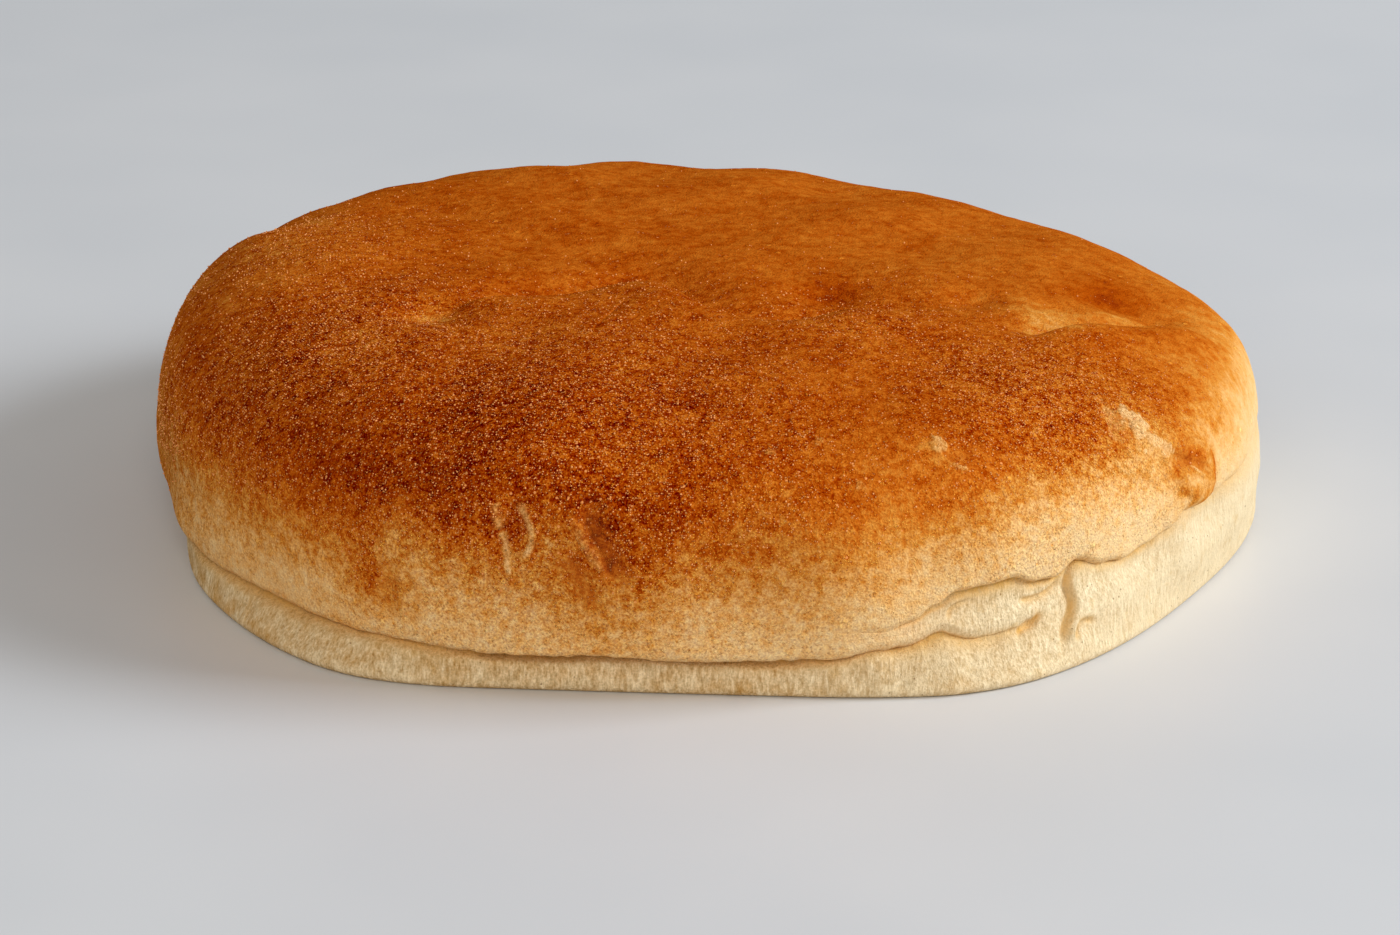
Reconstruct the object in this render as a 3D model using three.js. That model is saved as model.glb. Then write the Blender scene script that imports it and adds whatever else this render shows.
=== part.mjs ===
// Pan pizza base: one round flat loaf with a browned, softly dented crust that bulges over a low pale wall.
// Millimetres, +Z up. The bread rests on z = 0, its front faces -Y and its longer side runs along X.
// Directions round the bread are degrees anticlockwise from +X, seen from above, so its front is at 270.

import * as THREE from 'three';

// ---- Driving dimensions: the whole loaf --------------------------------------------------------

// Radii seen from above, one every 30 degrees from +X round.
const crustRadii = [82.0, 77.2, 75.8, 77.9, 81.2, 83.0, 81.9, 82.0, 82.1, 78.1, 80.6, 80.8];
const footRadii = [82.0, 75.5, 74.0, 76.0, 79.0, 81.0, 81.0, 82.8, 84.6, 75.0, 84.4, 80.4];

const topHeight = 37.6;      // the middle of the top, before its mounds and dents
const topLean = [1.9, 0.7]; // the top falls this much from the middle to +X, and to +Y
const bellyHeight = 11.2;   // where the crust is widest
const shoulderPower = 3.9;  // how square the shoulder between side and top is
const footRounding = 1.2;   // radius of the edge that the bread stands on
const sideRadius = 80;      // turns degrees round the side into millimetres along it

// ---- Driving dimensions: the two seams ---------------------------------------------------------

// Each row is direction in degrees, height in mm and how far the seam is open, from 0 to 1.
// The lower seam is the lip of the crust over the wall. It closes at the front right.
const lowerSeam = [
  [0, 7.0, 0.0], [30, 7.0, 0.2], [90, 7.0, 0.6], [150, 6.8, 0.8], [200, 7.0, 1.0], [240, 7.0, 1.0],
  [262, 6.2, 1.0], [282, 6.2, 1.0], [287, 7.2, 1.0], [290, 6.9, 1.0], [293.5, 8.4, 0.9],
  [297, 6.7, 0.7], [301, 7.3, 0.4], [305, 8.0, 0.1], [312, 7.2, 0.0], [340, 7.0, 0.0],
];
// The upper seam parts the crust from the pale band at the front right.
const upperSeam = [
  [0, 16.0, 0.15], [40, 14.0, 0.0], [200, 14.0, 0.0], [265, 13.0, 0.0], [283, 10.4, 0.0],
  [287.5, 9.6, 0.3], [290.5, 10.4, 0.6], [293, 11.8, 0.8], [295, 13.4, 0.9], [298.5, 15.0, 1.0],
  [301.5, 14.8, 1.0], [304, 13.2, 1.0], [307, 14.2, 1.0], [309.5, 14.9, 1.0], [313, 13.4, 1.0],
  [316.5, 12.6, 1.0], [320, 13.5, 0.9], [323.5, 14.6, 0.7], [326, 16.2, 0.7], [329.5, 15.8, 0.9],
  [333.5, 14.8, 1.0], [337, 15.2, 0.6], [345, 16.0, 0.2],
];
const seamRecess = 1.2;       // how far the open lower seam cuts in behind the wall
const lipRounding = 1.6;      // height of the rolled edge above the lower seam
const lipOverhang = 0.6;      // the least that the lip stands out over the wall's top
const crustTuck = 1.0;        // how far the crust draws in from its widest line to its lip
const wallLean = 0.6;         // how far the wall draws in from its foot to the seam
const pocketDepth = 1.4;      // how far the pale band under the open upper seam lies back
const upperRecess = 0.5;      // how far the open upper seam cuts in behind that band
const upperLipRounding = 1.2; // height of the rolled edge above the upper seam

// ---- Driving dimensions: mounds, dents and folds -----------------------------------------------

// Mounds and dents of the top: middle x and y, half widths along x and y, and rise (dents are below 0).
const topMounds = [
  [-14, 30, 34, 16, 0.4], [4, -46, 40, 14, 0.5], [-60, 0, 16, 24, 1.2], [34, 52, 34, 22, -0.8],
  [-39.5, -26, 6, 4.5, -1.9], [18, -15.5, 5.5, 4, -1.1], [37.5, -12, 5, 3.5, -0.8],
  [61, -6, 9, 4, -1.7], [52, -12, 4, 3, -0.5], [-63, 25, 8, 8, -1.1], [-14, 2, 14, 6, -0.5],
  [6, 12, 10, 6, -0.4], [26, 38, 12, 8, -0.4], [-44, 22, 10, 8, -0.5],
];

// Mounds and dents of the side: direction, height, half width, half height and rise.
const sideMounds = [
  [251, 24.2, 1.5, 3.0, -0.7], [200, 11, 3, 1.6, -0.5], [303, 8.2, 1.2, 1.0, -0.8],
  [313, 8.5, 5.0, 4.0, 0.7], [330, 20, 6.0, 5.0, 0.8], [322, 22, 4.0, 4.0, -0.5],
  [350, 10, 12.0, 6.0, 0.8], [296.5, 31.2, 2.2, 1.4, 0.4], [120, 20, 24, 9, 0.7], [60, 19, 20, 8, 0.6],
];

// Folds of the top: the near mound stands above the valley behind it, along these lines of x and y.
// The side to the right of each line, going along it, is the raised one.
const topFolds = [
  { path: [[-42, -31], [-33, -21], [-25, -17.5], [-18, -14.5], [-11, -10.5], [-7, -11], [-4, -16],
    [0, -23], [6, -26.5], [12, -27], [19, -22.5], [28, -20.5], [42, -15.8]],
    rise: 1.1, reach: 16, cut: 1.0, width: 6, edge: 3.2 },
  { path: [[46, -27], [54, -20.5], [62, -16], [71, -8]],
    rise: 0.9, reach: 10, cut: 0.9, width: 4.5, edge: 2.6 },
];

// Folds of the side, along lines of direction and height.
const sideFolds = [
  // The round edge of the pale lobe beside the pocket.
  { path: [[306.6, 2.4], [307.2, 5.5], [306.9, 9], [306.9, 12], [307.8, 14.4]],
    rise: 1.3, reach: 7, cut: 0.7, width: 1.0, edge: 1.2 },
  // The two sides of the brown lobe.
  { path: [[334, 24.5], [336.2, 21], [336.5, 18], [335.5, 15.2]],
    rise: 0.9, reach: 5, cut: 0.5, width: 1.4, edge: 1.6 },
  { path: [[331.5, 19.8], [327, 23], [324, 26.4]],
    rise: 0.4, reach: 4, cut: 0.6, width: 1.0, edge: 1.0 },
  // The long dent at the middle of the front.
  { path: [[261.3, 15.5], [259.3, 21], [257.2, 25.5]],
    rise: 0.3, reach: 3, cut: 1.0, width: 1.7, edge: 1.5 },
  // A short crease high on the front, right of the middle.
  { path: [[294.2, 30.4], [297.6, 29.5], [302, 30.8]],
    rise: 0.3, reach: 2.5, cut: 0.6, width: 0.9, edge: 1.0 },
  // Soft upright wrinkles at the front left.
  { path: [[238.6, 8.5], [238.6, 18]], rise: 0.0, reach: 2, cut: 0.35, width: 1.3, edge: 1.0 },
  { path: [[241.6, 9], [241, 18.5]], rise: 0.0, reach: 2, cut: 0.3, width: 1.1, edge: 1.0 },
];

// Gentle unevenness of the whole skin.
const waveCount = 14;
const waveRise = 0.16;
const waveLengths = [16, 42];
const waveSeed = 1207;

// ---- Driving dimensions: the mesh --------------------------------------------------------------

const around = 108;         // faces round the bread
const rows = { foot: 2, wall: 3, lip: 4, band: 2, upperLip: 3, crust: 24 };

// ---- Small helpers -----------------------------------------------------------------------------

const radians = (degrees) => THREE.MathUtils.degToRad(degrees);
const clamp = (value) => Math.min(Math.max(value, 0), 1);
const mix = (from, to, share) => from + (to - from) * share;
const bell = (distance) => Math.exp(-distance * distance);

function smooth(value) {
  const t = clamp(value);
  return t * t * (3 - 2 * t);
}

// A seeded draw of numbers from 0 to 1.
function makeDraw(seed) {
  let state = seed;
  return () => {
    state = (state * 16807) % 2147483647;
    return state / 2147483647;
  };
}

// Smooth curve through four neighbouring values.
function spline(before, from, to, after, share) {
  const t2 = share * share;
  return 0.5 * (2 * from + (to - before) * share + (2 * before - 5 * from + 4 * to - after) * t2
    + (3 * from - before - 3 * to + after) * t2 * share);
}

// Value at a direction, from values spaced evenly round the bread.
function ringValue(values, degrees) {
  const count = values.length;
  const place = degrees / 360 * count;
  const index = Math.floor(place);
  const at = (offset) => values[(index + offset + count) % count];
  return spline(at(-1), at(0), at(1), at(2), place - index);
}

// Height or opening of a seam at a direction, eased between the rows of its table.
function seamValue(seam, column, degrees) {
  const last = seam.length - 1;
  let row = last;
  while (row > 0 && seam[row][0] > degrees) row -= 1;
  const next = row === last ? 0 : row + 1;
  const span = (seam[next][0] - seam[row][0] + 360) % 360;
  return mix(seam[row][column], seam[next][column], smooth((degrees - seam[row][0]) / span));
}

// ---- The section of the bread in one direction --------------------------------------------------

const cutStart = 0.72;      // share of the way up a wall or band where it starts to draw in to its seam
const bandFull = 0.7;       // share of the way up the pale band where it has reached its full depth
const drawIn = (share) => smooth((share - cutStart) / (1 - cutStart));

// The pieces of the outline from the foot to the middle of the top, as lists of [radius, height].
function sectionLines(degrees) {
  const angle = radians(degrees);
  const crust = ringValue(crustRadii, degrees);
  const foot = ringValue(footRadii, degrees);
  const top = topHeight - topLean[0] * Math.cos(angle) - topLean[1] * Math.sin(angle);
  const lowHeight = seamValue(lowerSeam, 1, degrees);
  const lowOpen = seamValue(lowerSeam, 2, degrees);
  const highHeight = seamValue(upperSeam, 1, degrees);
  const highOpen = seamValue(upperSeam, 2, degrees);

  // Side of a loaf with no seam, and of the crust above an open one.
  const plainSide = (height) => mix(foot, crust, Math.sin(Math.PI / 2 * clamp(height / bellyHeight)));
  const tuckedSide = (height) => crust - crustTuck * clamp(1 - height / bellyHeight) ** 2;
  const shoulder = (height) => {
    const share = clamp((height - bellyHeight) / (top - bellyHeight));
    return crust * (1 - share ** shoulderPower) ** (1 / shoulderPower);
  };
  const crustSide = (height) => (height > bellyHeight
    ? shoulder(height) : mix(plainSide(height), tuckedSide(height), lowOpen));
  const wallTop = Math.min(foot - wallLean, tuckedSide(lowHeight) - lipOverhang);
  const wallSide = (height) => mix(plainSide(height), mix(foot, wallTop, height / lowHeight), lowOpen);
  const bandSide = (height) => crustSide(height)
    - pocketDepth * highOpen * smooth((height - lowHeight) / (bandFull * (highHeight - lowHeight)));

  const line = (steps, point) => Array.from({ length: steps + 1 }, (_, step) => point(step / steps));
  // A quarter round from a recessed start at one height out to the skin above it.
  const roll = (startRadius, endRadius, start, rise) => line(8, (t) => [
    mix(startRadius, endRadius, Math.sin(Math.PI / 2 * t)),
    start + rise * (1 - Math.cos(Math.PI / 2 * t)),
  ]);
  const footCentre = wallSide(footRounding) - footRounding;
  const seamStart = wallSide(lowHeight) - seamRecess * lowOpen;
  const lipEnd = lowHeight + lipRounding;
  const highStart = bandSide(highHeight) - upperRecess * highOpen;
  const highEnd = highHeight + upperLipRounding;
  const crownShare = clamp((highEnd - bellyHeight) / (top - bellyHeight));
  const crownTurn = Math.asin(crownShare ** (shoulderPower / 2));
  return {
    foot: line(4, (t) => [
      footCentre + footRounding * Math.sin(Math.PI / 2 * t),
      footRounding * (1 - Math.cos(Math.PI / 2 * t)),
    ]),
    wall: line(12, (t) => {
      const height = mix(footRounding, lowHeight, t);
      return [wallSide(height) - seamRecess * lowOpen * drawIn(t), height];
    }),
    lip: roll(seamStart, bandSide(lipEnd), lowHeight, lipRounding),
    band: line(8, (t) => {
      const height = mix(lipEnd, highHeight, t);
      return [bandSide(height) - upperRecess * highOpen * drawIn(t), height];
    }),
    upperLip: roll(highStart, crustSide(highEnd), highHeight, upperLipRounding),
    crust: [[crustSide(highEnd), highEnd], ...line(160, (t) => {
      const turn = mix(crownTurn, Math.PI / 2, t);
      const radius = crust * Math.max(Math.cos(turn), 0) ** (2 / shoulderPower);
      const height = bellyHeight + (top - bellyHeight) * Math.sin(turn) ** (2 / shoulderPower);
      return [radius, mix(height, topHeight, smooth(1 - radius / crust))];
    })],
  };
}

// Points spread evenly along a line of points, leaving out its first one.
function spread(line, count) {
  const lengths = [0];
  for (let index = 1; index < line.length; index += 1) {
    const step = Math.hypot(line[index][0] - line[index - 1][0], line[index][1] - line[index - 1][1]);
    lengths.push(lengths[index - 1] + step);
  }
  const total = lengths[lengths.length - 1];
  const points = [];
  let index = 1;
  for (let step = 1; step <= count; step += 1) {
    const place = total * step / count;
    while (index < line.length - 1 && lengths[index] < place) index += 1;
    const share = clamp((place - lengths[index - 1]) / Math.max(lengths[index] - lengths[index - 1], 1e-9));
    points.push([
      mix(line[index - 1][0], line[index][0], share),
      mix(line[index - 1][1], line[index][1], share),
    ]);
  }
  return points;
}

// The whole section in one direction: the foot's first point, then every row up to the middle.
function sectionPoints(degrees) {
  const lines = sectionLines(degrees);
  const points = [lines.foot[0]];
  for (const [name, count] of Object.entries(rows)) points.push(...spread(lines[name], count));
  return points;
}

// ---- Relief ------------------------------------------------------------------------------------

// Signed distance to a line of points, positive to its right, and how far along it the nearest place is.
function distanceToPath(path, u, v) {
  let best = { distance: Infinity, side: 1, along: 0 };
  for (let index = 0; index < path.length - 1; index += 1) {
    const [startU, startV] = path[index];
    const [endU, endV] = path[index + 1];
    const stepU = endU - startU;
    const stepV = endV - startV;
    const length2 = stepU * stepU + stepV * stepV;
    const share = clamp(((u - startU) * stepU + (v - startV) * stepV) / length2);
    const awayU = u - startU - share * stepU;
    const awayV = v - startV - share * stepV;
    const distance = Math.hypot(awayU, awayV);
    if (distance < best.distance) {
      const side = stepU * (v - startV) - stepV * (u - startU) > 0 ? -1 : 1;
      best = { distance, side, along: (index + share) / (path.length - 1) };
    }
  }
  return best;
}

// A fold lifts the skin on its right, easing off over its reach, and cuts a groove on its left.
function foldRise(fold, u, v) {
  const { distance, side, along } = distanceToPath(fold.path, u, v);
  const signed = distance * side;
  const fade = smooth(along * 6) * smooth((1 - along) * 6);
  const raised = fold.rise * smooth(0.5 + signed / fold.edge) * Math.exp(-Math.max(signed, 0) / fold.reach);
  const groove = fold.cut * bell((signed + 0.5 * fold.edge) / fold.width);
  return fade * (raised - groove);
}

const alongSide = ([degrees, height]) => [radians(degrees) * sideRadius, height];
const sideLines = sideFolds.map((fold) => ({ ...fold, path: fold.path.map(alongSide) }));

// Waves in seeded directions, lengths and phases.
const draw = makeDraw(waveSeed);
const waves = Array.from({ length: waveCount }, () => {
  const direction = new THREE.Vector3(draw() - 0.5, draw() - 0.5, 0.6 * (draw() - 0.5)).normalize();
  const length = mix(waveLengths[0], waveLengths[1], draw());
  return { direction: direction.multiplyScalar(2 * Math.PI / length), phase: 2 * Math.PI * draw() };
});

// How far the skin stands out at a place, where `upward` is the height part of its normal.
function skinRise(place, upward) {
  let rise = 0;
  for (const wave of waves) rise += waveRise * Math.sin(place.dot(wave.direction) + wave.phase);
  rise *= smooth((place.z - 1.5) / 6);

  const topShare = smooth((upward - 0.25) / 0.4);
  if (topShare > 0) {
    for (const [x, y, halfX, halfY, height] of topMounds) {
      rise += topShare * height * bell(Math.hypot((place.x - x) / halfX, (place.y - y) / halfY));
    }
    for (const fold of topFolds) rise += topShare * foldRise(fold, place.x, place.y);
  }

  const sideShare = smooth((place.z - 0.8) / 1.6) * smooth((0.95 - upward) / 0.3);
  if (sideShare > 0) {
    const degrees = (THREE.MathUtils.radToDeg(Math.atan2(place.y, place.x)) + 360) % 360;
    const [u, v] = alongSide([degrees, place.z]);
    for (const [middle, height, halfWidth, halfHeight, out] of sideMounds) {
      const turn = (degrees - middle + 540) % 360 - 180;
      rise += sideShare * out * bell(Math.hypot(turn / halfWidth, (place.z - height) / halfHeight));
    }
    for (const fold of sideLines) rise += sideShare * foldRise(fold, u, v);
  }
  return rise;
}

// ---- The skin as one closed surface, centred over the origin ------------------------------------

function buildSkin() {
  const sections = Array.from({ length: around }, (_, index) => {
    const degrees = index * 360 / around;
    const angle = radians(degrees);
    return sectionPoints(degrees).map(([radius, height]) => new THREE.Vector3(
      radius * Math.cos(angle), radius * Math.sin(angle), height));
  });
  const rowCount = sections[0].length;
  const at = (column, row) => sections[(column + around) % around][row];

  const relieved = sections.map((section, column) => section.map((place, row) => {
    if (row === rowCount - 1) return place.clone();
    const roundTangent = at(column + 1, row).clone().sub(at(column - 1, row));
    const upTangent = at(column, row + 1).clone().sub(at(column, Math.max(row - 1, 0)));
    const normal = roundTangent.cross(upTangent).normalize();
    return place.clone().addScaledVector(normal, row === 0 ? 0 : skinRise(place, normal.z));
  }));

  const positions = [];
  const addPoint = ({ x, y, z }) => positions.push(x, y, z) / 3 - 1;
  const grid = relieved.map((section) => section.slice(0, rowCount - 1).map(addPoint));
  const crown = new THREE.Vector3(0, 0, topHeight);
  const crownPoint = addPoint(crown.setZ(topHeight + skinRise(crown, 1)));
  const underPoint = addPoint(new THREE.Vector3(0, 0, 0));

  const faces = [];
  for (let column = 0; column < around; column += 1) {
    const here = grid[column];
    const next = grid[(column + 1) % around];
    faces.push(underPoint, next[0], here[0]);
    for (let row = 0; row < here.length - 1; row += 1) {
      faces.push(here[row], next[row], next[row + 1]);
      faces.push(here[row], next[row + 1], here[row + 1]);
    }
    faces.push(here[here.length - 1], next[here.length - 1], crownPoint);
  }
  const geometry = new THREE.BufferGeometry();
  geometry.setAttribute('position', new THREE.Float32BufferAttribute(positions, 3));
  geometry.setIndex(faces);
  geometry.computeBoundingBox();
  const middle = geometry.boundingBox.getCenter(new THREE.Vector3());
  geometry.translate(-middle.x, -middle.y, 0);
  geometry.computeVertexNormals();
  return geometry;
}

const crustMaterial = new THREE.MeshStandardMaterial({ color: 0xb5651d, roughness: 0.62, metalness: 0 });

const bread = new THREE.Mesh(buildSkin(), crustMaterial);
bread.name = 'pan_pizza_base';

const group = new THREE.Group();
group.add(bread);

export default group;
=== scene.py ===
"""Looks of the pan pizza base: one round flat loaf with a browned crust that bulges over a low pale wall.

Lengths in this file are millimetres and become metres as each mesh or place is made. The loaf rests on
z = 0 with its front towards -Y. Directions round it are degrees anticlockwise from +X, seen from above,
so its front is at 270.
"""

import math

import bpy
import numpy as np
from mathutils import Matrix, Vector


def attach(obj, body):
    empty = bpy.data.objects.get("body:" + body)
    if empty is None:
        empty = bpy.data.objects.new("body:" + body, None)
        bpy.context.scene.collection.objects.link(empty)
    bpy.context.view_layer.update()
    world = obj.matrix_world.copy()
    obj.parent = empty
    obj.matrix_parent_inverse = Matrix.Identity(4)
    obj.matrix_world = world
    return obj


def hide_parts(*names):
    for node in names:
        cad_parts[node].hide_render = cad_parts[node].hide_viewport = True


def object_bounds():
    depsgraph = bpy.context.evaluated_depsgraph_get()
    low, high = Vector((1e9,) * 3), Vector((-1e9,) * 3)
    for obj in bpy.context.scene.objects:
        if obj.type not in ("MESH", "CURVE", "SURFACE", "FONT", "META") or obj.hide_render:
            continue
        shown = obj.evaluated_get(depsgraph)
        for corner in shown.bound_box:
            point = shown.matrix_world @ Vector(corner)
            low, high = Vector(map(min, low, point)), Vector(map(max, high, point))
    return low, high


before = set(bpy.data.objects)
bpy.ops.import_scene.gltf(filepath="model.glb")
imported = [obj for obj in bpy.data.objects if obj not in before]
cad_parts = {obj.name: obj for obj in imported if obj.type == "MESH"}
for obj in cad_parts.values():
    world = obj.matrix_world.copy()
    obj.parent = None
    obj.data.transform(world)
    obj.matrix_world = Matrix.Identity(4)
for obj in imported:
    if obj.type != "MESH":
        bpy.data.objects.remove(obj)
solid_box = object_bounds()

MM = 0.001
LOAF = "pan_pizza_base"

# ---- Sizes of the loaf, as in the solid ----

# Radii seen from above, one every 30 degrees from +X round.
CRUST_RADII = [82.0, 77.2, 75.8, 77.9, 81.2, 83.0, 81.9, 82.0, 82.1, 78.1, 80.6, 80.8]
FOOT_RADII = [82.0, 75.5, 74.0, 76.0, 78.0, 76.6, 76.2, 82.7, 87.2, 85.0, 85.0, 80.2]
# The front of the foot is nearly flat: the direction that it faces, its distance, and how sharply it turns.
FOOT_FLAT = (266.0, 75.7, 30)
FLAT_END = 0.2    # least cosine of the turn away from the flat, which keeps its line finite

TOP_HEIGHT = 37.6
TOP_LEAN = (2.4, 1.2)
BELLY_HEIGHT = 11.2
SHOULDER_POWER = 3.9
FOOT_ROUNDING = 1.2
SIDE_RADIUS = 80.0

# Each row of a seam is direction, height and opening, from 0 to 1.
HEIGHT, OPENING = 1, 2
LOWER_SEAM = [
    (0, 7.0, 0.0), (30, 7.0, 0.2), (90, 7.0, 0.6), (150, 7.0, 0.7), (185, 6.6, 0.75),
    (194, 6.0, 0.7), (201, 5.3, 0.75), (209, 5.5, 0.8), (217, 5.8, 0.9), (227, 5.9, 1.0),
    (237, 6.0, 1.0), (246, 5.4, 1.0), (253, 5.2, 1.0), (262, 5.7, 1.0), (270, 5.3, 1.0),
    (276, 5.1, 1.0), (282, 5.7, 1.0), (287, 6.8, 1.0), (290, 6.7, 1.0), (293.5, 8.2, 0.9),
    (297, 6.7, 0.7), (301, 7.3, 0.4), (305, 8.0, 0.1), (312, 7.2, 0.0), (340, 7.0, 0.0),
]
UPPER_SEAM = [
    (0, 16.0, 0.15), (40, 14.0, 0.0), (200, 14.0, 0.0), (265, 13.0, 0.0), (283, 10.4, 0.0),
    (287.5, 9.6, 0.3), (290.5, 10.4, 0.6), (293, 12.0, 0.8), (295.3, 13.6, 0.9), (298.2, 14.0, 1.0),
    (301.3, 14.5, 1.0), (304.2, 13.0, 1.0), (306.6, 12.9, 1.0), (309.4, 14.7, 1.0), (313, 13.2, 1.0),
    (316.5, 12.3, 1.0), (320, 12.6, 0.9), (323.5, 13.8, 0.6), (326, 16.0, 0.6), (329.5, 15.6, 0.9),
    (333.5, 14.8, 1.0), (337, 15.2, 0.6), (345, 16.0, 0.2),
]
SEAM_RECESS = 1.2
LIP_ROUNDING = 1.6
LIP_OVERHANG = 0.4
CRUST_TUCK = 1.0
WALL_LEAN = 0.6
POCKET_DEPTH = 1.1
UPPER_RECESS = 0.4
UPPER_LIP_ROUNDING = 1.2
CUT_START = 0.72
BAND_FULL = 0.7

# Mounds and dents of the top: middle x and y, half widths along x and y, and rise.
TOP_MOUNDS = [
    (-14, 30, 34, 16, 0.4), (4, -46, 40, 14, 0.5), (-60, 0, 16, 24, 1.2), (26, 60, 30, 18, -0.5),
    (-39.5, -26, 6, 4.5, -1.9), (17.5, -13, 5.5, 4.5, -1.7), (39, -14, 4.5, 4, -1.4),
    (61, -6, 7.5, 5, -2.2), (51, -14, 4.5, 4, -0.9), (-63, 25, 8, 8, -1.1), (-14, 2, 14, 6, -0.5),
    (6, 12, 10, 6, -0.4), (26, 38, 12, 8, -0.4), (-44, 22, 10, 8, -0.5), (-68, 14, 12, 18, 1.0),
]

# Mounds and dents of the side: direction, height, half width, half height and rise.
SIDE_MOUNDS = [
    (250.7, 24.6, 1.2, 2.9, -1.4), (205, 15, 3.5, 2.0, -0.5), (201, 8.2, 5.0, 2.0, 0.4),
    (303.2, 7.6, 1.0, 0.8, -0.7), (309.3, 5.0, 1.1, 0.9, -0.6),
    (313, 8.5, 5.0, 4.0, 0.7), (330, 20, 6.0, 5.0, 0.8), (322, 22, 4.0, 4.0, -0.5),
    (350, 10, 12.0, 6.0, 0.8), (296.5, 31.2, 2.2, 1.4, 0.4), (120, 20, 24, 9, 0.7), (60, 19, 20, 8, 0.6),
]


def fold(path, rise, reach, cut, width, edge):
    """A line whose right side is raised and eases off over its reach, with a groove on its left."""
    return {"path": path, "rise": rise, "reach": reach, "cut": cut, "width": width, "edge": edge}


# The near mound of the top stands above the valley behind it.
TOP_FOLDS = [
    fold([(-42, -31), (-33, -21), (-25, -17.5), (-18, -14.5), (-11, -10.5), (-7, -11), (-4, -16),
          (0, -23), (6, -26.5), (12, -27), (19, -22.5), (28, -20.5), (42, -15.8)],
         rise=2.0, reach=14, cut=1.7, width=5, edge=2.8),
    fold([(46, -27), (54, -20.5), (62, -16), (71, -8)],
         rise=1.5, reach=8, cut=1.4, width=3.8, edge=2.4),
]

# Folds of the side, along lines of direction and height.
PALE_LOBE_EDGE = fold([(306.7, 3.6), (307.3, 5.6), (308.0, 7.0), (308.5, 8.6), (308.5, 10.2), (308.6, 12.2),
                       (309.2, 14.0)], rise=0.75, reach=4.0, cut=0.5, width=0.45, edge=1.15)
BROWN_LOBE_END = fold([(330.6, 24.2), (332.0, 21.5), (332.1, 18.4), (331.7, 15.2)],
                      rise=0.5, reach=4, cut=0.3, width=0.9, edge=1.1)
BROWN_LOBE_CREASE = fold([(330.5, 20.2), (327, 22.6), (324, 26.0)],
                         rise=0.4, reach=4, cut=0.6, width=0.9, edge=1.0)
LONG_DENT = fold([(257.4, 26.4), (258.3, 24.4), (259.2, 22.3), (260.1, 20.2), (260.8, 17.8)],
                 rise=0.6, reach=1.8, cut=1.1, width=1.5, edge=1.3)
LOW_DENT = fold([(255.9, 20.4), (256.9, 18.2), (257.8, 16.0), (258.3, 13.4)],
                rise=0.35, reach=1.4, cut=0.8, width=1.2, edge=1.0)
HIGH_CREASE = fold([(295.2, 30.9), (297.6, 30.5), (299.4, 31.0), (301.2, 31.4)],
                   rise=0.3, reach=2.0, cut=0.7, width=0.7, edge=0.8)
WRINKLES = [
    fold([(238.6, 8.5), (238.6, 18)], rise=0.0, reach=2, cut=0.35, width=1.3, edge=1.0),
    fold([(241.6, 9), (241, 18.5)], rise=0.0, reach=2, cut=0.3, width=1.1, edge=1.0),
]
SIDE_FOLDS = [PALE_LOBE_EDGE, BROWN_LOBE_END, BROWN_LOBE_CREASE, LONG_DENT, LOW_DENT, HIGH_CREASE, *WRINKLES]

WAVE_COUNT = 14
WAVE_RISE = 0.11
WAVE_LENGTHS = (16, 42)
WAVE_TILT = 0.6    # how steeply the waves may run, beside how they turn round the loaf
WAVE_SEED = 1207

# ---- Finer relief that the solid leaves out ----

# Small folds of the pale band and the pocket.
FINE_FOLDS = [
    fold([(307.2, 12.6), (306.5, 11.9), (305.6, 11.3), (304.5, 11.0), (303.3, 11.0), (302.1, 11.3)],
         rise=0.35, reach=1.5, cut=0.4, width=0.5, edge=0.5),
    fold([(304.5, 8.9), (303.5, 7.8), (302.5, 7.4), (301.5, 6.9)],
         rise=0.35, reach=1.5, cut=0.7, width=0.5, edge=0.5),
    fold([(301.4, 7.3), (299.8, 6.9), (297.8, 5.9)], rise=0.25, reach=1.5, cut=0.35, width=0.5, edge=0.5),
    fold([(311.2, 5.8), (309.2, 6.3), (308.4, 5.5), (307.9, 4.2)],
         rise=0.3, reach=1.2, cut=0.5, width=0.5, edge=0.5),
    fold([(297.2, 12.5), (295.6, 12.2), (294.6, 11.5), (294.3, 10.6)],
         rise=0.25, reach=1.2, cut=0.35, width=0.45, edge=0.45),
]

# Puffed skin: direction, height, half width, half height, lean in degrees and rise.
PUFFS = [(328.0, 19.2, 5.8, 3.0, -20, 0.5)]
PUFF_EDGE = 0.34

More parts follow.
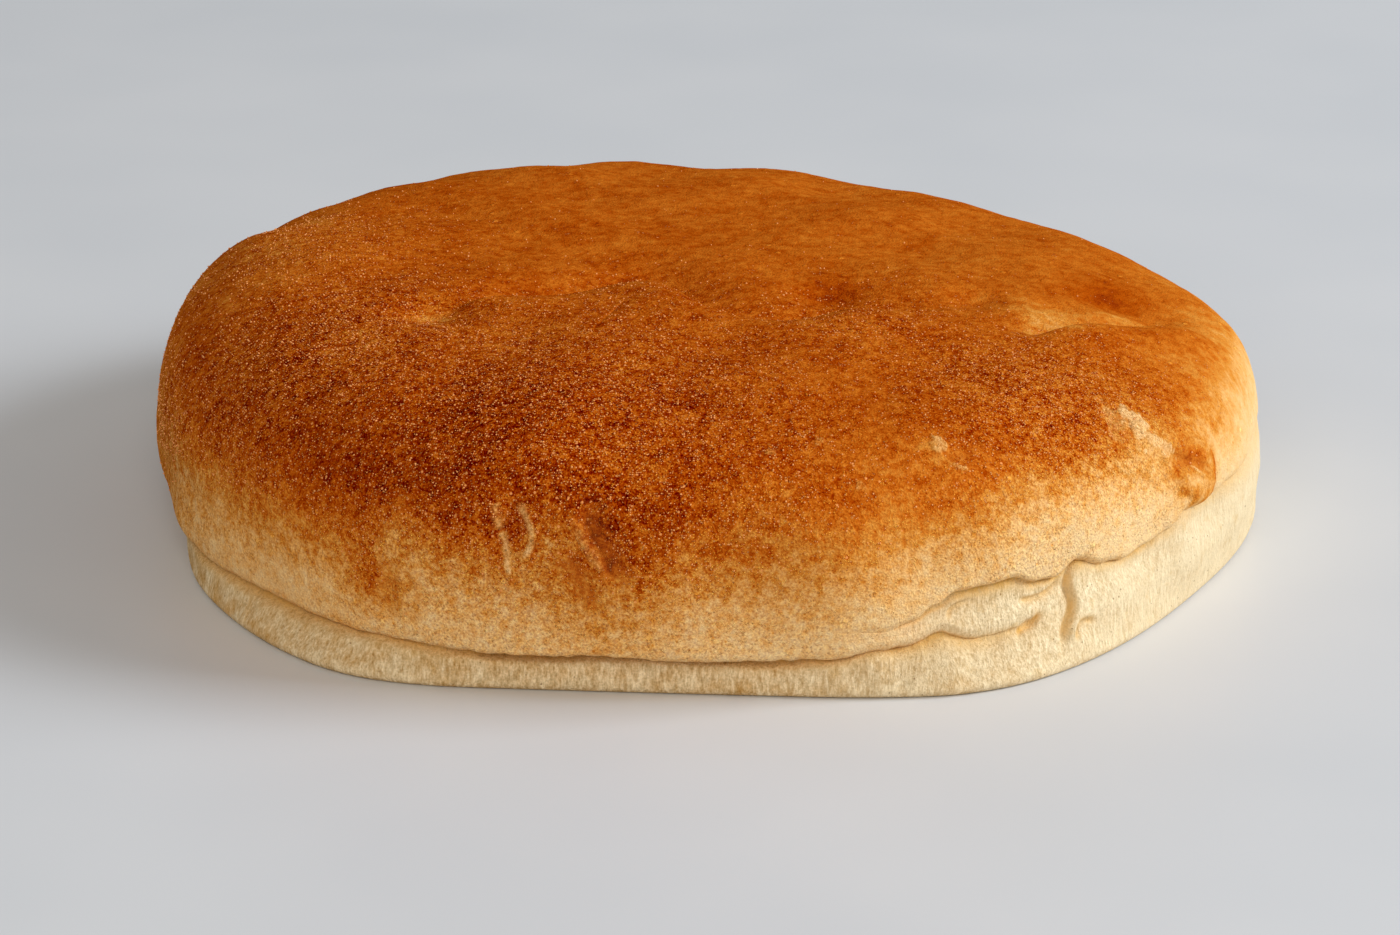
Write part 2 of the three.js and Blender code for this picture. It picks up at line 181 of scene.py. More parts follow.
# Torn skin: the same values, with how pale it is. What sinks is a blister that has lost its skin.
TORN_SKIN = [
    (321.6, 27.2, 4.8, 3.0, -36, -0.06, 0.30), (320.2, 25.0, 3.4, 1.4, -36, 0.10, 0.34),
    (320.0, 29.8, 2.5, 1.1, 22, -0.25, 0.48), (322.8, 29.0, 2.3, 1.5, -35, 0.24, 0.86),
    (322.4, 27.8, 1.6, 1.2, 0, 0.22, 0.82), (324.0, 25.4, 3.0, 1.0, -41, 0.26, 0.80),
    (322.8, 24.0, 1.9, 0.9, -35, -0.18, 0.40), (321.3, 25.7, 0.5, 0.4, 0, 0.15, 0.90),
    (318.5, 28.1, 1.4, 0.6, -20, 0.12, 0.40), (319.1, 26.0, 1.6, 0.8, -30, 0.14, 0.42),
    (317.4, 24.7, 3.0, 0.8, -39, 0.18, 0.50), (320.3, 22.9, 1.8, 0.5, -35, 0.18, 0.45),
    (327.7, 20.7, 2.2, 0.4, -42, 0.25, 0.62), (329.8, 20.0, 1.2, 0.35, -30, 0.18, 0.40),
    (296.0, 31.8, 1.6, 0.7, 10, 0.30, 0.60), (297.0, 29.8, 1.2, 0.4, -20, 0.22, 0.50),
    (277.0, 32.9, 1.1, 0.4, 0, 0.14, 0.35), (283.0, 33.6, 1.2, 0.3, 0, 0.13, 0.30),
    (273.8, 24.0, 1.4, 1.0, 0, 0.15, 0.30), (286.0, 29.1, 0.9, 0.6, 0, 0.12, 0.30),
    (251.3, 20.7, 0.8, 0.8, 0, 0.10, 0.45),
]
TORN_WANDER = (0.38, 0.9)          # how far its outline wanders, and the size of one turn of it
TORN_FINE_WANDER = (0.6, 2.3)      # share and number of the smaller turns on each turn
TORN_REACH = 2.5                   # how far out the outline is worked out, 1 on the oval
TORN_STEP = (1.0, 0.7)             # where on the outline its rise starts and is full, and so its paleness
TORN_FADE = (1.15, 0.65)

# Thin raised rims of old blisters, as lines of direction and height: rise, width and paleness. The paleness
# is partly the cream of torn skin and partly a painted highlight where a rim faces the light.
RIMS = [
    ([(248.6, 27.6), (248.8, 26.4), (249.1, 25.0), (249.5, 23.8)], 0.25, 0.85, 0.58),
    ([(249.4, 24.2), (249.8, 22.9), (250.3, 21.1), (250.3, 19.4), (250.7, 17.0)], 0.42, 0.60, 0.95),
    ([(250.4, 27.8), (251.4, 26.9), (252.1, 25.5), (252.6, 24.0), (252.6, 22.4), (252.0, 20.8),
      (251.4, 19.8)], 0.48, 0.65, 0.92),
    ([(256.5, 26.0), (257.1, 24.5), (257.7, 23.2), (258.4, 21.7), (259.2, 20.2), (260.1, 18.2)],
     0.35, 0.95, 0.50),
    ([(256.5, 17.0), (257.0, 15.2), (257.5, 13.2)], 0.20, 0.8, 0.30),
    ([(241.0, 18.4), (241.0, 14.5), (241.4, 9.0)], 0.40, 0.9, 0.15),
]
RIM_EDGE = 0.1
RIM_BREAKS = (2.2, 0.35)    # length and depth of the uneven stretches along a rim

# Unevenness of the skin and of the lip's torn edge: length and rise of each size.
SKIN_GRAIN = [(9.0, 0.16), (4.2, 0.10), (1.9, 0.05), (1.0, 0.03)]
LIP_CRUMBLE = [(9.0, 0.10), (3.4, 0.10), (1.3, 0.12), (0.6, 0.06)]
WALL_STREAKS = [(2.6, 6.0, 0.12), (1.3, 3.5, 0.08), (0.7, 1.8, 0.05)]    # width, height and rise
CRUMB_CALM = 0.6                   # share of the skin's grain that pale crumb leaves out

# Where relief starts and is full: heights, and upward parts of the skin's normal.
WAVE_HEIGHTS = (1.5, 7.5)
SIDE_HEIGHTS = (0.8, 2.4)
GRAIN_HEIGHTS = (0.6, 1.8)
ABOVE_TABLE = (1.0, 2.0)
TOP_TURN = (0.25, 0.65)
SIDE_TURN = (0.95, 0.65)

# First seed of each noise, and the turn of its lattice away from the axes.
SEEDS = {"skin": 11, "streaks": 31, "lip": 41, "torn": 51, "rims": 61, "patches": 71}
NOISE_TURN = np.linalg.qr(np.array([(2.0, 1.0, 0.6), (-0.7, 1.6, 1.1), (0.4, -1.3, 1.9)]))[0]
# Large odd numbers that scatter the values of the lattice's corners.
SCATTER = (73856093, 19349663, 83492791, 2654435761, 1274126177)

# ---- The mesh ----

COLUMNS = 1260
DENSE_FRONT = (292.0, 48.0, 0.9)   # middle, half width and extra share of columns
ROWS = {"foot": 4, "wall": 22, "lip": 12, "band": 20, "upper_lip": 8, "crust": 210}
UNDER_ROWS = 3
CRUST_CROWDING = 0.45              # how much closer the rows of the side are than those of the top
# Points of each piece of the outline, and of the full turn, before rows and columns are spread along them.
CORNER_POINTS, ROLL_POINTS, SIDE_POINTS, CROWN_POINTS, TURN_POINTS = 7, 13, 41, 600, 7201


def clamp(value):
    return np.clip(value, 0.0, 1.0)


def mix(start, end, share):
    return start + (end - start) * share


def smooth(value):
    t = clamp(value)
    return t * t * (3 - 2 * t)


def ease(value, start, end):
    """Eases from 0 at start to 1 at end."""
    return smooth((value - start) / (end - start))


def bell(distance):
    return np.exp(-distance * distance)


def make_draw(seed):
    """A seeded draw of numbers from 0 to 1."""
    state = seed
    while True:
        state = state * 16807 % 2147483647
        yield state / 2147483647


def curve_between(before, start, end, after, share):
    """A place on the smooth curve from start to end, led by the values on either side."""
    return 0.5 * (2 * start + (end - before) * share
                  + (2 * before - 5 * start + 4 * end - after) * share ** 2
                  + (3 * start - before - 3 * end + after) * share ** 3)


def ring_value(values, degrees):
    """Smooth value at each direction, from values spaced evenly round the loaf."""
    values = np.asarray(values, float)
    count = len(values)
    place = degrees / 360 * count
    index = np.floor(place).astype(int)
    return curve_between(*(values[(index + step) % count] for step in (-1, 0, 1, 2)), place - index)


def seam_value(seam, column, degrees):
    """Height or opening of a seam at each direction, eased between its rows."""
    starts = np.array([row[0] for row in seam] + [360.0])
    values = np.array([row[column] for row in seam] + [seam[0][column]])
    row = np.clip(np.searchsorted(starts, degrees, side="right") - 1, 0, len(seam) - 1)
    return mix(values[row], values[row + 1], ease(degrees, starts[row], starts[row + 1]))


def seam_openings(degrees):
    """How far the lower and the upper seam are open at each direction."""
    return [seam_value(seam, OPENING, degrees)[:, None] for seam in (LOWER_SEAM, UPPER_SEAM)]


def foot_radius(degrees):
    """Radius of the foot, whose front is nearly flat."""
    ring = ring_value(FOOT_RADII, degrees)
    facing, distance, power = FOOT_FLAT
    turn = np.radians(turn_from(degrees, facing))
    flat = distance / np.maximum(np.cos(turn), FLAT_END)
    return (ring ** -power + flat ** -power) ** (-1 / power)


def lip_crumble(degrees):
    """How far the torn edge of the lip wanders up and down."""
    angle = np.radians(degrees)
    around = np.stack([np.cos(angle), np.sin(angle), 0 * angle], axis=1) * SIDE_RADIUS
    return layered_noise(around, LIP_CRUMBLE, SEEDS["lip"])


def section_lines(degrees):
    """Pieces of the outline from the foot to the middle of the top, as radii and heights."""
    angle = np.radians(degrees)[:, None]
    crust = ring_value(CRUST_RADII, degrees)[:, None]
    foot = foot_radius(degrees)[:, None]
    top = TOP_HEIGHT - TOP_LEAN[0] * np.cos(angle) - TOP_LEAN[1] * np.sin(angle)
    low_open, high_open = seam_openings(degrees)
    low_height, high_height = (seam_value(seam, HEIGHT, degrees)[:, None]
                               for seam in (LOWER_SEAM, UPPER_SEAM))
    low_height = low_height + lip_crumble(degrees)[:, None] * low_open

    def plain_side(height):
        return mix(foot, crust, np.sin(np.pi / 2 * clamp(height / BELLY_HEIGHT)))

    def tucked_side(height):
        return crust - CRUST_TUCK * clamp(1 - height / BELLY_HEIGHT) ** 2

    def shoulder(height):
        share = clamp((height - BELLY_HEIGHT) / (top - BELLY_HEIGHT))
        return crust * (1 - share ** SHOULDER_POWER) ** (1 / SHOULDER_POWER)

    def crust_side(height):
        below = mix(plain_side(height), tucked_side(height), low_open)
        return np.where(height > BELLY_HEIGHT, shoulder(height), below)

    wall_top = np.minimum(foot - WALL_LEAN, tucked_side(low_height) - LIP_OVERHANG)

    def wall_side(height):
        return mix(plain_side(height), mix(foot, wall_top, height / low_height), low_open)

    def band_side(height):
        depth = smooth((height - low_height) / (BAND_FULL * (high_height - low_height)))
        return crust_side(height) - POCKET_DEPTH * high_open * depth

    def draw_in(share):
        return ease(share, CUT_START, 1)

    def roll(start_radius, end_radius, start, rise, opened):
        """A quarter turn out and up, which is a straight line where the seam is closed."""
        share = np.linspace(0, 1, ROLL_POINTS)[None]
        turn = np.pi / 2 * share
        out, up = (mix(share, curved, opened) for curved in (np.sin(turn), 1 - np.cos(turn)))
        return mix(start_radius, end_radius, out), start + rise * up

    corner = np.linspace(0, np.pi / 2, CORNER_POINTS)[None]
    share = np.linspace(0, 1, SIDE_POINTS)[None]
    foot_middle = wall_side(FOOT_ROUNDING) - FOOT_ROUNDING
    wall_height = mix(FOOT_ROUNDING, low_height, share)
    lip_end = low_height + LIP_ROUNDING
    band_height = mix(lip_end, high_height, share)
    high_end = high_height + UPPER_LIP_ROUNDING
    crown_share = clamp((high_end - BELLY_HEIGHT) / (top - BELLY_HEIGHT))
    crown_start = np.arcsin(crown_share ** (SHOULDER_POWER / 2))
    turn = mix(crown_start, np.pi / 2, np.linspace(0, 1, CROWN_POINTS)[None])
    crown_radius = crust * np.maximum(np.cos(turn), 0) ** (2 / SHOULDER_POWER)
    crown_height = BELLY_HEIGHT + (top - BELLY_HEIGHT) * np.sin(turn) ** (2 / SHOULDER_POWER)
    crown_height = mix(crown_height, TOP_HEIGHT, smooth(1 - crown_radius / crust))
    return {
        "foot": (foot_middle + FOOT_ROUNDING * np.sin(corner),
                 FOOT_ROUNDING * (1 - np.cos(corner)) + 0 * foot),
        "wall": (wall_side(wall_height) - SEAM_RECESS * low_open * draw_in(share), wall_height),
        "lip": roll(wall_side(low_height) - SEAM_RECESS * low_open, band_side(lip_end),
                    low_height, LIP_ROUNDING, low_open),
        "band": (band_side(band_height) - UPPER_RECESS * high_open * draw_in(share), band_height),
        "upper_lip": roll(band_side(high_height) - UPPER_RECESS * high_open, crust_side(high_end),
                          high_height, UPPER_LIP_ROUNDING, high_open),
        "crust": (np.hstack([crust_side(high_end), crown_radius]), np.hstack([high_end, crown_height])),
    }


def spread(radii, heights, count, crowding):
    """Points along each column's line, leaving out its first one, crowded towards its start."""
    steps = np.hypot(np.diff(radii, axis=1), np.diff(heights, axis=1))
    lengths = np.hstack([np.zeros((len(radii), 1)), np.cumsum(steps, axis=1)])
    shares = np.arange(1, count + 1) / count
    shares *= 1 - crowding * (1 - shares)
    places = [shares * length[-1] for length in lengths]
    return tuple(np.array([np.interp(place, length, values)
                           for place, length, values in zip(places, lengths, table)])
                 for table in (radii, heights))


def column_directions():
    """Directions of the columns, closer together at the folded front."""
    middle, half_width, extra = DENSE_FRONT
    fine = np.linspace(0, 360, TURN_POINTS)
    density = 1 + extra * bell((fine - middle) / half_width)
    filled = np.concatenate([[0], np.cumsum((density[1:] + density[:-1]) / 2)])
    return np.interp(np.arange(COLUMNS) / COLUMNS, filled / filled[-1], fine)


def bare_sections(degrees):
    """Every column's radii and heights from the foot to the crown, and the rows' zones."""
    lines = section_lines(degrees)
    radii, heights = [lines["foot"][0][:, :1]], [lines["foot"][1][:, :1]]
    zones = ["foot"]
    for zone, count in ROWS.items():
        crowding = CRUST_CROWDING if zone == "crust" else 0
        more_radii, more_heights = spread(*lines[zone], count, crowding)
        radii.append(more_radii)
        heights.append(more_heights)
        zones += [zone] * count
    return np.hstack(radii), np.hstack(heights), np.array(zones)


# ---- Relief ----

# Shares of a fold's edge: how widely its turns are rounded, how far to its left its groove and its painted
# shade lie, and how much wider than the groove the painted shade is.
FOLD_EASE, GROOVE_PLACE, SHADE_PLACE, SHADE_SPREAD = 0.5, 0.5, 0.35, 0.15
FOLD_MARGIN = 4       # how many of its reaches or widths away a fold still counts
FOLD_ENDS = 6         # each end eases in over one part in this many of its length
CREASE_DEPTH = 1.6    # how much painted shade a fold has for each mm of its groove's depth


def rounded_path(path, pieces=8):
    """The path with its corners rounded by a curve through its points."""
    points = np.array([path[0], *path, path[-1]], float)
    curve = []
    for group in zip(points, points[1:], points[2:], points[3:]):
        curve += [curve_between(*group, share) for share in np.arange(pieces) / pieces]
    return np.array([*curve, points[-1]])


def fold_marks(line, u, v):
    """How far a fold moves the skin at each place, and how much painted shade darkens its groove there."""
    path, edge, width = rounded_path(line["path"]), line["edge"], line["width"]
    margin = FOLD_MARGIN * max(line["reach"], width)
    low, high = path.min(axis=0) - margin, path.max(axis=0) + margin
    near = (u > low[0]) & (u < high[0]) & (v > low[1]) & (v < high[1])
    away_u = u[near, None] - path[None, :, 0]
    away_v = v[near, None] - path[None, :, 1]
    step = np.gradient(path, axis=0)
    length = np.hypot(step[:, 0], step[:, 1])
    distance = np.hypot(away_u, away_v)
    # The nearest stretch of the path counts most, and its neighbours keep the turns smooth.
    weight = length * np.exp((distance.min(axis=1, keepdims=True) - distance) / (FOLD_EASE * edge))
    weight /= weight.sum(axis=1, keepdims=True)
    signed = (weight * (away_u * step[:, 1] - away_v * step[:, 0]) / length).sum(axis=1)
    along = weight @ (np.arange(len(path)) / (len(path) - 1))
    beyond = np.sqrt(np.maximum(distance.min(axis=1) ** 2 - signed ** 2, 0))
    fade = smooth(along * FOLD_ENDS) * smooth((1 - along) * FOLD_ENDS) * bell(beyond / max(edge, width))
    raised = line["rise"] * smooth(0.5 + signed / edge) * bell(np.maximum(signed, 0) / line["reach"])
    groove = bell((signed + GROOVE_PLACE * edge) / width)
    # Painted shade along the groove, where the fold's own shadow falls.
    painted_shade = bell((signed + SHADE_PLACE * edge) / (width + SHADE_SPREAD * edge))
    rise, crease = np.zeros(len(u)), np.zeros(len(u))
    rise[near] = fade * (raised - line["cut"] * groove)
    crease[near] = fade * painted_shade
    return rise, crease


def side_length(degrees):
    """Millimetres along the side for a turn round it."""
    return np.radians(degrees) * SIDE_RADIUS


def along_side(line):
    """A fold of the side with its directions turned into millimetres along the side."""
    return {**line, "path": [(side_length(turn), height) for turn, height in line["path"]]}


def directions(places):
    return np.degrees(np.arctan2(places[:, 1], places[:, 0])) % 360


def turn_from(degrees, middle):
    return (degrees - middle + 540) % 360 - 180


def leaning_oval(degrees, heights, middle, height, half_width, half_height, lean):
    """Distance from an oval's middle, 1 on its rim."""
    across = side_length(turn_from(degrees, middle))
    up = heights - height
    cos, sin = math.cos(math.radians(lean)), math.sin(math.radians(lean))
    return np.hypot((across * cos + up * sin) / half_width, (up * cos - across * sin) / half_height)


def lattice_noise(places, seed):
    """Smooth noise from -1 to 1 at each place, one unit from bump to bump."""
    cell = np.floor(places).astype(np.int64)
    share = places - cell
    share = share * share * (3 - 2 * share)
    across, back, up, other, stir = SCATTER
    total = np.zeros(len(places))
    for corner in np.ndindex(2, 2, 2):
        x, y, z = (cell[:, axis] + corner[axis] for axis in range(3))
        mixed = (x * across ^ y * back ^ z * up ^ seed * other) & 0xFFFFFFFF
        mixed = (mixed ^ (mixed >> 13)) * stir & 0xFFFFFFFF
        mixed = (mixed ^ (mixed >> 16)) & 0xFFFF
        sides = [share[:, axis] if corner[axis] else 1 - share[:, axis] for axis in range(3)]
        total += np.prod(sides, axis=0) * (mixed / (0xFFFF / 2) - 1)
    return total


def layered_noise(places, sizes, seed):
    """Noise of several sizes, each with its own length and rise."""
    return sum(rise * lattice_noise(places / length, seed + index)
               for index, (length, rise) in enumerate(sizes))


def wave_rise(places):
    """Long soft waves of the whole skin, each with its own direction, length and phase."""
    draw = make_draw(WAVE_SEED)
    rise = np.zeros(len(places))
    for _ in range(WAVE_COUNT):
        direction = np.array([next(draw) - 0.5, next(draw) - 0.5, WAVE_TILT * (next(draw) - 0.5)])
        length = mix(*WAVE_LENGTHS, next(draw))
        phase = 2 * math.pi * next(draw)
        away = places @ direction / np.linalg.norm(direction)
        rise += WAVE_RISE * np.sin(away * 2 * math.pi / length + phase)
    return rise * ease(places[:, 2], *WAVE_HEIGHTS)


def torn_outline(places, degrees, oval):
    """Distance from the middle of a piece of torn skin, 1 on its wandering outline."""
    wander, turn = TORN_WANDER
    share, count = TORN_FINE_WANDER
    near = leaning_oval(degrees, places[:, 2], *oval)
    close = near < TORN_REACH
    turned = places[close] @ NOISE_TURN / turn
    coarse, fine = (lattice_noise(turned * times, SEEDS["torn"] + index)
                    for index, times in enumerate((1, count)))
    near[close] *= 1 + wander * (coarse + share * fine)
    return near


def rim_marks(places, degrees):
    """How far the rims of old blisters rise at each place, and how pale they leave it, partly with a painted
    highlight.
    """
    size, depth = RIM_BREAKS
    rise, pale = np.zeros(len(places)), np.zeros(len(places))
    for path, height, width, paleness in RIMS:
        line = along_side(fold(path, rise=0.0, reach=width, cut=1.0, width=width, edge=RIM_EDGE))
        share = fold_marks(line, side_length(degrees), places[:, 2])[1]
        share *= 1 - depth * (1 + lattice_noise(places @ NOISE_TURN / size, SEEDS["rims"])) / 2
        rise += height * share
        pale = np.maximum(pale, paleness * share)
    return rise, pale


def skin_marks(places, upward, crumb):
    """How far the skin stands out at each place, and the painted shade of its creases.

    `upward` is the upward part of the skin's normal, and `crumb` is its share of pale crumb.
    """
    x, y, z = places.T
    degrees = directions(places)
    rise = wave_rise(places)
    creases = np.zeros(len(places))

    top_share = ease(upward, *TOP_TURN)
    for middle_x, middle_y, half_x, half_y, height in TOP_MOUNDS:
        rise += top_share * height * bell(np.hypot((x - middle_x) / half_x, (y - middle_y) / half_y))
    for line in TOP_FOLDS:
        rise += top_share * fold_marks(line, x, y)[0]

    side_share = ease(z, *SIDE_HEIGHTS) * ease(upward, *SIDE_TURN)
    for middle, height, half_width, half_height, out in SIDE_MOUNDS:
        turn = turn_from(degrees, middle)
        rise += side_share * out * bell(np.hypot(turn / half_width, (z - height) / half_height))
    for line in SIDE_FOLDS + FINE_FOLDS:
        fold_height, crease = fold_marks(along_side(line), side_length(degrees), z)
        rise += side_share * fold_height
        creases = np.maximum(creases, side_share * crease * min(1, CREASE_DEPTH * line["cut"]))
    for *oval, out in PUFFS:
        rise += out * smooth((1 - leaning_oval(degrees, z, *oval)) / PUFF_EDGE)

    for *oval, out, _ in TORN_SKIN:
        rise += out * ease(torn_outline(places, degrees, oval), *TORN_STEP)
    rise += rim_marks(places, degrees)[0]

    clear = ease(z, *GRAIN_HEIGHTS)
    rise += clear * (1 - CRUMB_CALM * crumb) * layered_noise(places @ NOISE_TURN, SKIN_GRAIN, SEEDS["skin"])
    around = SIDE_RADIUS * np.stack([np.cos(np.radians(degrees)), np.sin(np.radians(degrees))])
    for index, (width, tall, height) in enumerate(WALL_STREAKS):
        stretched = np.stack([*(around / width), z / tall], axis=1)
        rise += clear * crumb * height * lattice_noise(stretched, SEEDS["streaks"] + index)
    return rise, creases


# ---- Where the oven has browned the loaf, and where shade and glints are painted on it ----

# Browning of the side, from 0 for barely baked to 1 for nearly burnt, one value every 30 degrees from +X:
# low on the crust, high on its shoulder, and the heights between which one turns into the other.
LOW_BROWNING = [0.00, 0.00, 0.05, 0.10, 0.14, 0.28, 0.50, 0.20, 0.11, 0.10, 0.00, 0.00]
HIGH_BROWNING = [0.72, 0.74, 0.76, 0.76, 0.76, 0.74, 0.68, 0.80, 0.84, 0.77, 0.75, 0.74]
FADE_START = [16, 13, 8, 5, 4, 3, 4, 6, 4, 3, 12, 14]
FADE_END = [34, 32, 30, 29, 29, 30, 31, 30, 30, 29, 35, 36]
TOP_BROWNING = (0.74, -0.0004, -0.0002)   # middle of the top, and its change for each mm along x and y
CROWN_TURN = (0.60, 0.95)                 # upward part of the normal where the top's browning takes over

# Darker and paler patches: x, y, z, radius and change. Some partly paint shade and light: darker in the
# top's dimples, the front's scar and dents and along the lower edge of the brown lobe, paler on a dimple's
# lit side.
PATCHES = [
    (-36, -58, 35, 20, 0.06), (0, -60, 35, 20, 0.05), (28, -54, 35, 12, 0.05), (-25, -62, 35, 7, 0.05),
    (-47, -40, 37, 5, -0.08), (-25, -38, 38, 9, -0.06), (-66, 4, 35, 14, -0.11), (-60, 22, 35, 8, -0.10),
    (-66, -12, 34, 7, -0.08), (36, 5, 37, 14, -0.03), (-26, 60, 34, 14, -0.06), (72, 10, 30, 10, -0.08),
    (-39, -26, 38, 4, -0.20), (-36, -23, 37, 3, 0.14), (18, -11, 37, 5, 0.14), (60, -4, 34, 6, 0.16),
    (50, -19, 36, 6, -0.30), (62, -12, 34, 5, -0.28), (55, -28, 34, 4, 0.08), (65, -19, 33, 5, 0.10),
    (74, -6, 29, 6, -0.20), (69, -24, 30, 7, -0.13), (60, -45, 30, 5, -0.16), (68, -42.5, 20.5, 5.5, 0.29),
    (65.8, -45.9, 18.8, 1.1, 0.18), (66.6, -44.8, 18.0, 1.0, 0.20), (67.3, -43.6, 17.4, 1.1, 0.34),
    (68.6, -41.5, 16.6, 1.2, 0.45), (70.0, -39.3, 16.0, 1.2, 0.45), (70.5, -38.3, 17.6, 1.2, 0.42),
    (70.7, -38.0, 19.5, 1.2, 0.38), (70.8, -37.5, 21.2, 1.3, 0.30), (68.5, -41.3, 21.8, 1.4, 0.16),
    (67.2, -43.1, 22.8, 1.4, 0.18), (65.2, -46.2, 21.8, 1.4, 0.22), (67.5, -43.3, 19.5, 1.8, -0.12),
    (64.3, -46.0, 26.0, 1.1, 0.22), (-26.2, -74.9, 24.6, 1.5, 0.16), (-13.6, -78.6, 22.6, 1.8, 0.05),
    (54, -34, 34, 6, -0.03), (48.4, -63, 23.9, 6, -0.05), (36, -70, 23, 5, 0.05), (31, -66, 32, 4, -0.16),
    (24, -69, 30, 5, -0.08), (9, -75, 27, 5, -0.09), (36, -71, 18, 7, 0.06), (12, -78, 11, 5, 0.06),
    (-13, -78, 19, 3, 0.03), (-12, -78, 10, 4, 0.04), (-46, -68, 14, 4, 0.26), (-41, -71, 20, 5, -0.18),
    (-40, -72, 14, 4, 0.02), (-23, -75, 22, 5, -0.16), (-27, -72, 26, 4, -0.06), (-20, -76, 23, 3.0, -0.10),
    (-57, -58, 13, 5, -0.03), (-35, -74, 17, 4, -0.08), (-18.3, -76.8, 20.5, 2.4, 0.10),
    (-77, -22, 13, 9, 0.03), (-74.5, -23, 30, 6, 0.06), (73.5, -31.5, 23, 4.5, 0.16),
    (16, -58, 36, 12, -0.05), (28, -62, 33, 7, -0.03), (26.2, -75.2, 15.5, 5, 0.07),
    (37.1, -70.7, 21, 5, -0.05),
]
SMALL_PATCH = 3               # radius below which a patch's outline wanders
PATCH_WANDER = (0.4, 1.3)     # how far it wanders, and the size of one turn of it
# Where no seam is open, the side is pale below these heights, every 30 degrees, and fades over this share.
PALE_EDGE = [15.0, 14.0, 11.0, 9.0, 8.5, 8.0, 8.0, 8.0, 9.0, 12.0, 15.0, 15.0]
PALE_FADE = 0.3
# One part in this many of the rows of the lip and the upper lip is where one shade turns into the next.
LIP_TURN, UPPER_LIP_TURN = 2.5, 2
# How tan the pale crumb is, every 30 degrees.
CRUMB_TAN_SHARE = [0.08, 0.20, 0.35, 0.45, 0.50, 0.52, 0.55, 0.52, 0.44, 0.40, 0.18, 0.05]


def crumb_share(degrees, heights, zones):
    """How much of the skin is pale, torn crumb: the wall under the lip and the band under the upper seam."""
    low_open, high_open = seam_openings(degrees)
    edge = ring_value(PALE_EDGE, degrees)[:, None]
    closed = smooth((edge - heights) / (PALE_FADE * edge))
    below_lip = low_open + (1 - low_open) * closed
    band = high_open + (1 - high_open) * (1 - low_open) * closed
    crust = (1 - low_open) * (1 - high_open) * closed
    count = {zone: max(1, int((zones == zone).sum())) for zone in ROWS}
    share = np.zeros_like(heights)
    for row, zone in enumerate(zones):
        part = (row - int(np.argmax(zones == zone))) / count[zone]
        shade = {
            "foot": below_lip[:, row],
            "wall": below_lip[:, row],
            "lip": mix(below_lip[:, row], band[:, row], clamp(part * LIP_TURN)),
            "band": band[:, row],
            "upper_lip": mix(band[:, row], crust[:, row], clamp(part * UPPER_LIP_TURN)),
            "crust": crust[:, row],
        }
        share[:, row] = shade[zone]
    return share


# How far from the bottom of a seam the painted shade under its lip reaches, as a share of each zone.
SEAM_SHADE_REACH = {"wall": 0.30, "lip": 0.35, "band": 0.30, "upper_lip": 0.6}


def painted_seam_shade(degrees, heights, zones):
    """How close the skin lies to the bottom of an open seam, where painted shade darkens it as under the
    lip.
    """
    low_open, high_open = seam_openings(degrees)
    share = np.zeros_like(heights)
    for below, above, opened in (("wall", "lip", low_open), ("band", "upper_lip", high_open)):
        for zone, bottom in ((below, 1), (above, 0)):
            rows = np.flatnonzero(zones == zone)
            parts = (np.arange(len(rows)) + 1) / len(rows)
            near = bell((parts - bottom) / SEAM_SHADE_REACH[zone])
            share[:, rows] = opened * near
    return share


def browning(places, upward, crumb):
    """How brown the skin is at each place, or how tan where it is pale crumb, with the painted shade and
    light of some patches.
    """
    x, y, z = places.T
    degrees = directions(places)
    low, high, start, end = (ring_value(values, degrees)
                             for values in (LOW_BROWNING, HIGH_BROWNING, FADE_START, FADE_END))
    middle_browning, along_x, along_y = TOP_BROWNING
    top = middle_browning + along_x * x + along_y * y
    baked = mix(mix(low, high, ease(z, start, end)), top, ease(upward, *CROWN_TURN))
    wander, size = PATCH_WANDER
    ragged = 1 + wander * lattice_noise(places @ NOISE_TURN / size, SEEDS["patches"])
    for *middle, radius, change in PATCHES:
        away = np.linalg.norm(places - middle, axis=1)
        baked += change * bell(away * (ragged if radius < SMALL_PATCH else 1) / radius)
    return mix(clamp(baked), ring_value(CRUMB_TAN_SHARE, degrees), crumb)


def bare_share(places):
    """How pale torn skin has left the loaf: tan in a blister, cream on a shred and on the scar's rim, the
    rims partly a painted highlight.
    """
    degrees = directions(places)
    share = np.zeros(len(places))
    for *oval, _, paleness in TORN_SKIN:
        share = mix(share, paleness, ease(torn_outline(places, degrees, oval), *TORN_FADE))
    return np.maximum(share, rim_marks(places, degrees)[1]) * ease(places[:, 2], *ABOVE_TABLE)


# Semolina dust, and painted glints, thickest over the front of the top: x, y, z, radius and share.
DUST_AND_GLINTS = [
    (-22, -64, 32, 48, 0.95), (-52, -38, 34, 34, 0.95), (-62, 4, 34, 28, 0.60), (-12, -24, 38, 24, 0.50),
    (22, -32, 38, 24, 0.6), (46, -48, 32, 25, 0.95), (-74, -24, 14, 26, 0.85), (42, -64, 18, 24, 0.62),
    (0, -80, 6, 44, 0.62),
]
DUST_IN_CREASES = 0.5              # share of the dust that a crease keeps
UNDER_BROWNING, UNDER_CRUMB = 0.45, 0.2


def dust_and_glint_share(places):
    """How thickly semolina dust lies at each place, and how thickly glints are painted there."""
    share = np.zeros(len(places))
    for *middle, radius, thickness in DUST_AND_GLINTS:
        share = np.maximum(share, thickness * bell(np.linalg.norm(places - middle, axis=1) / radius))
    return share


# ---- Meshes ----

def placed(name, data):
    """A new object in the scene."""
    made = bpy.data.objects.new(name, data)
    bpy.context.collection.objects.link(made)
    return made


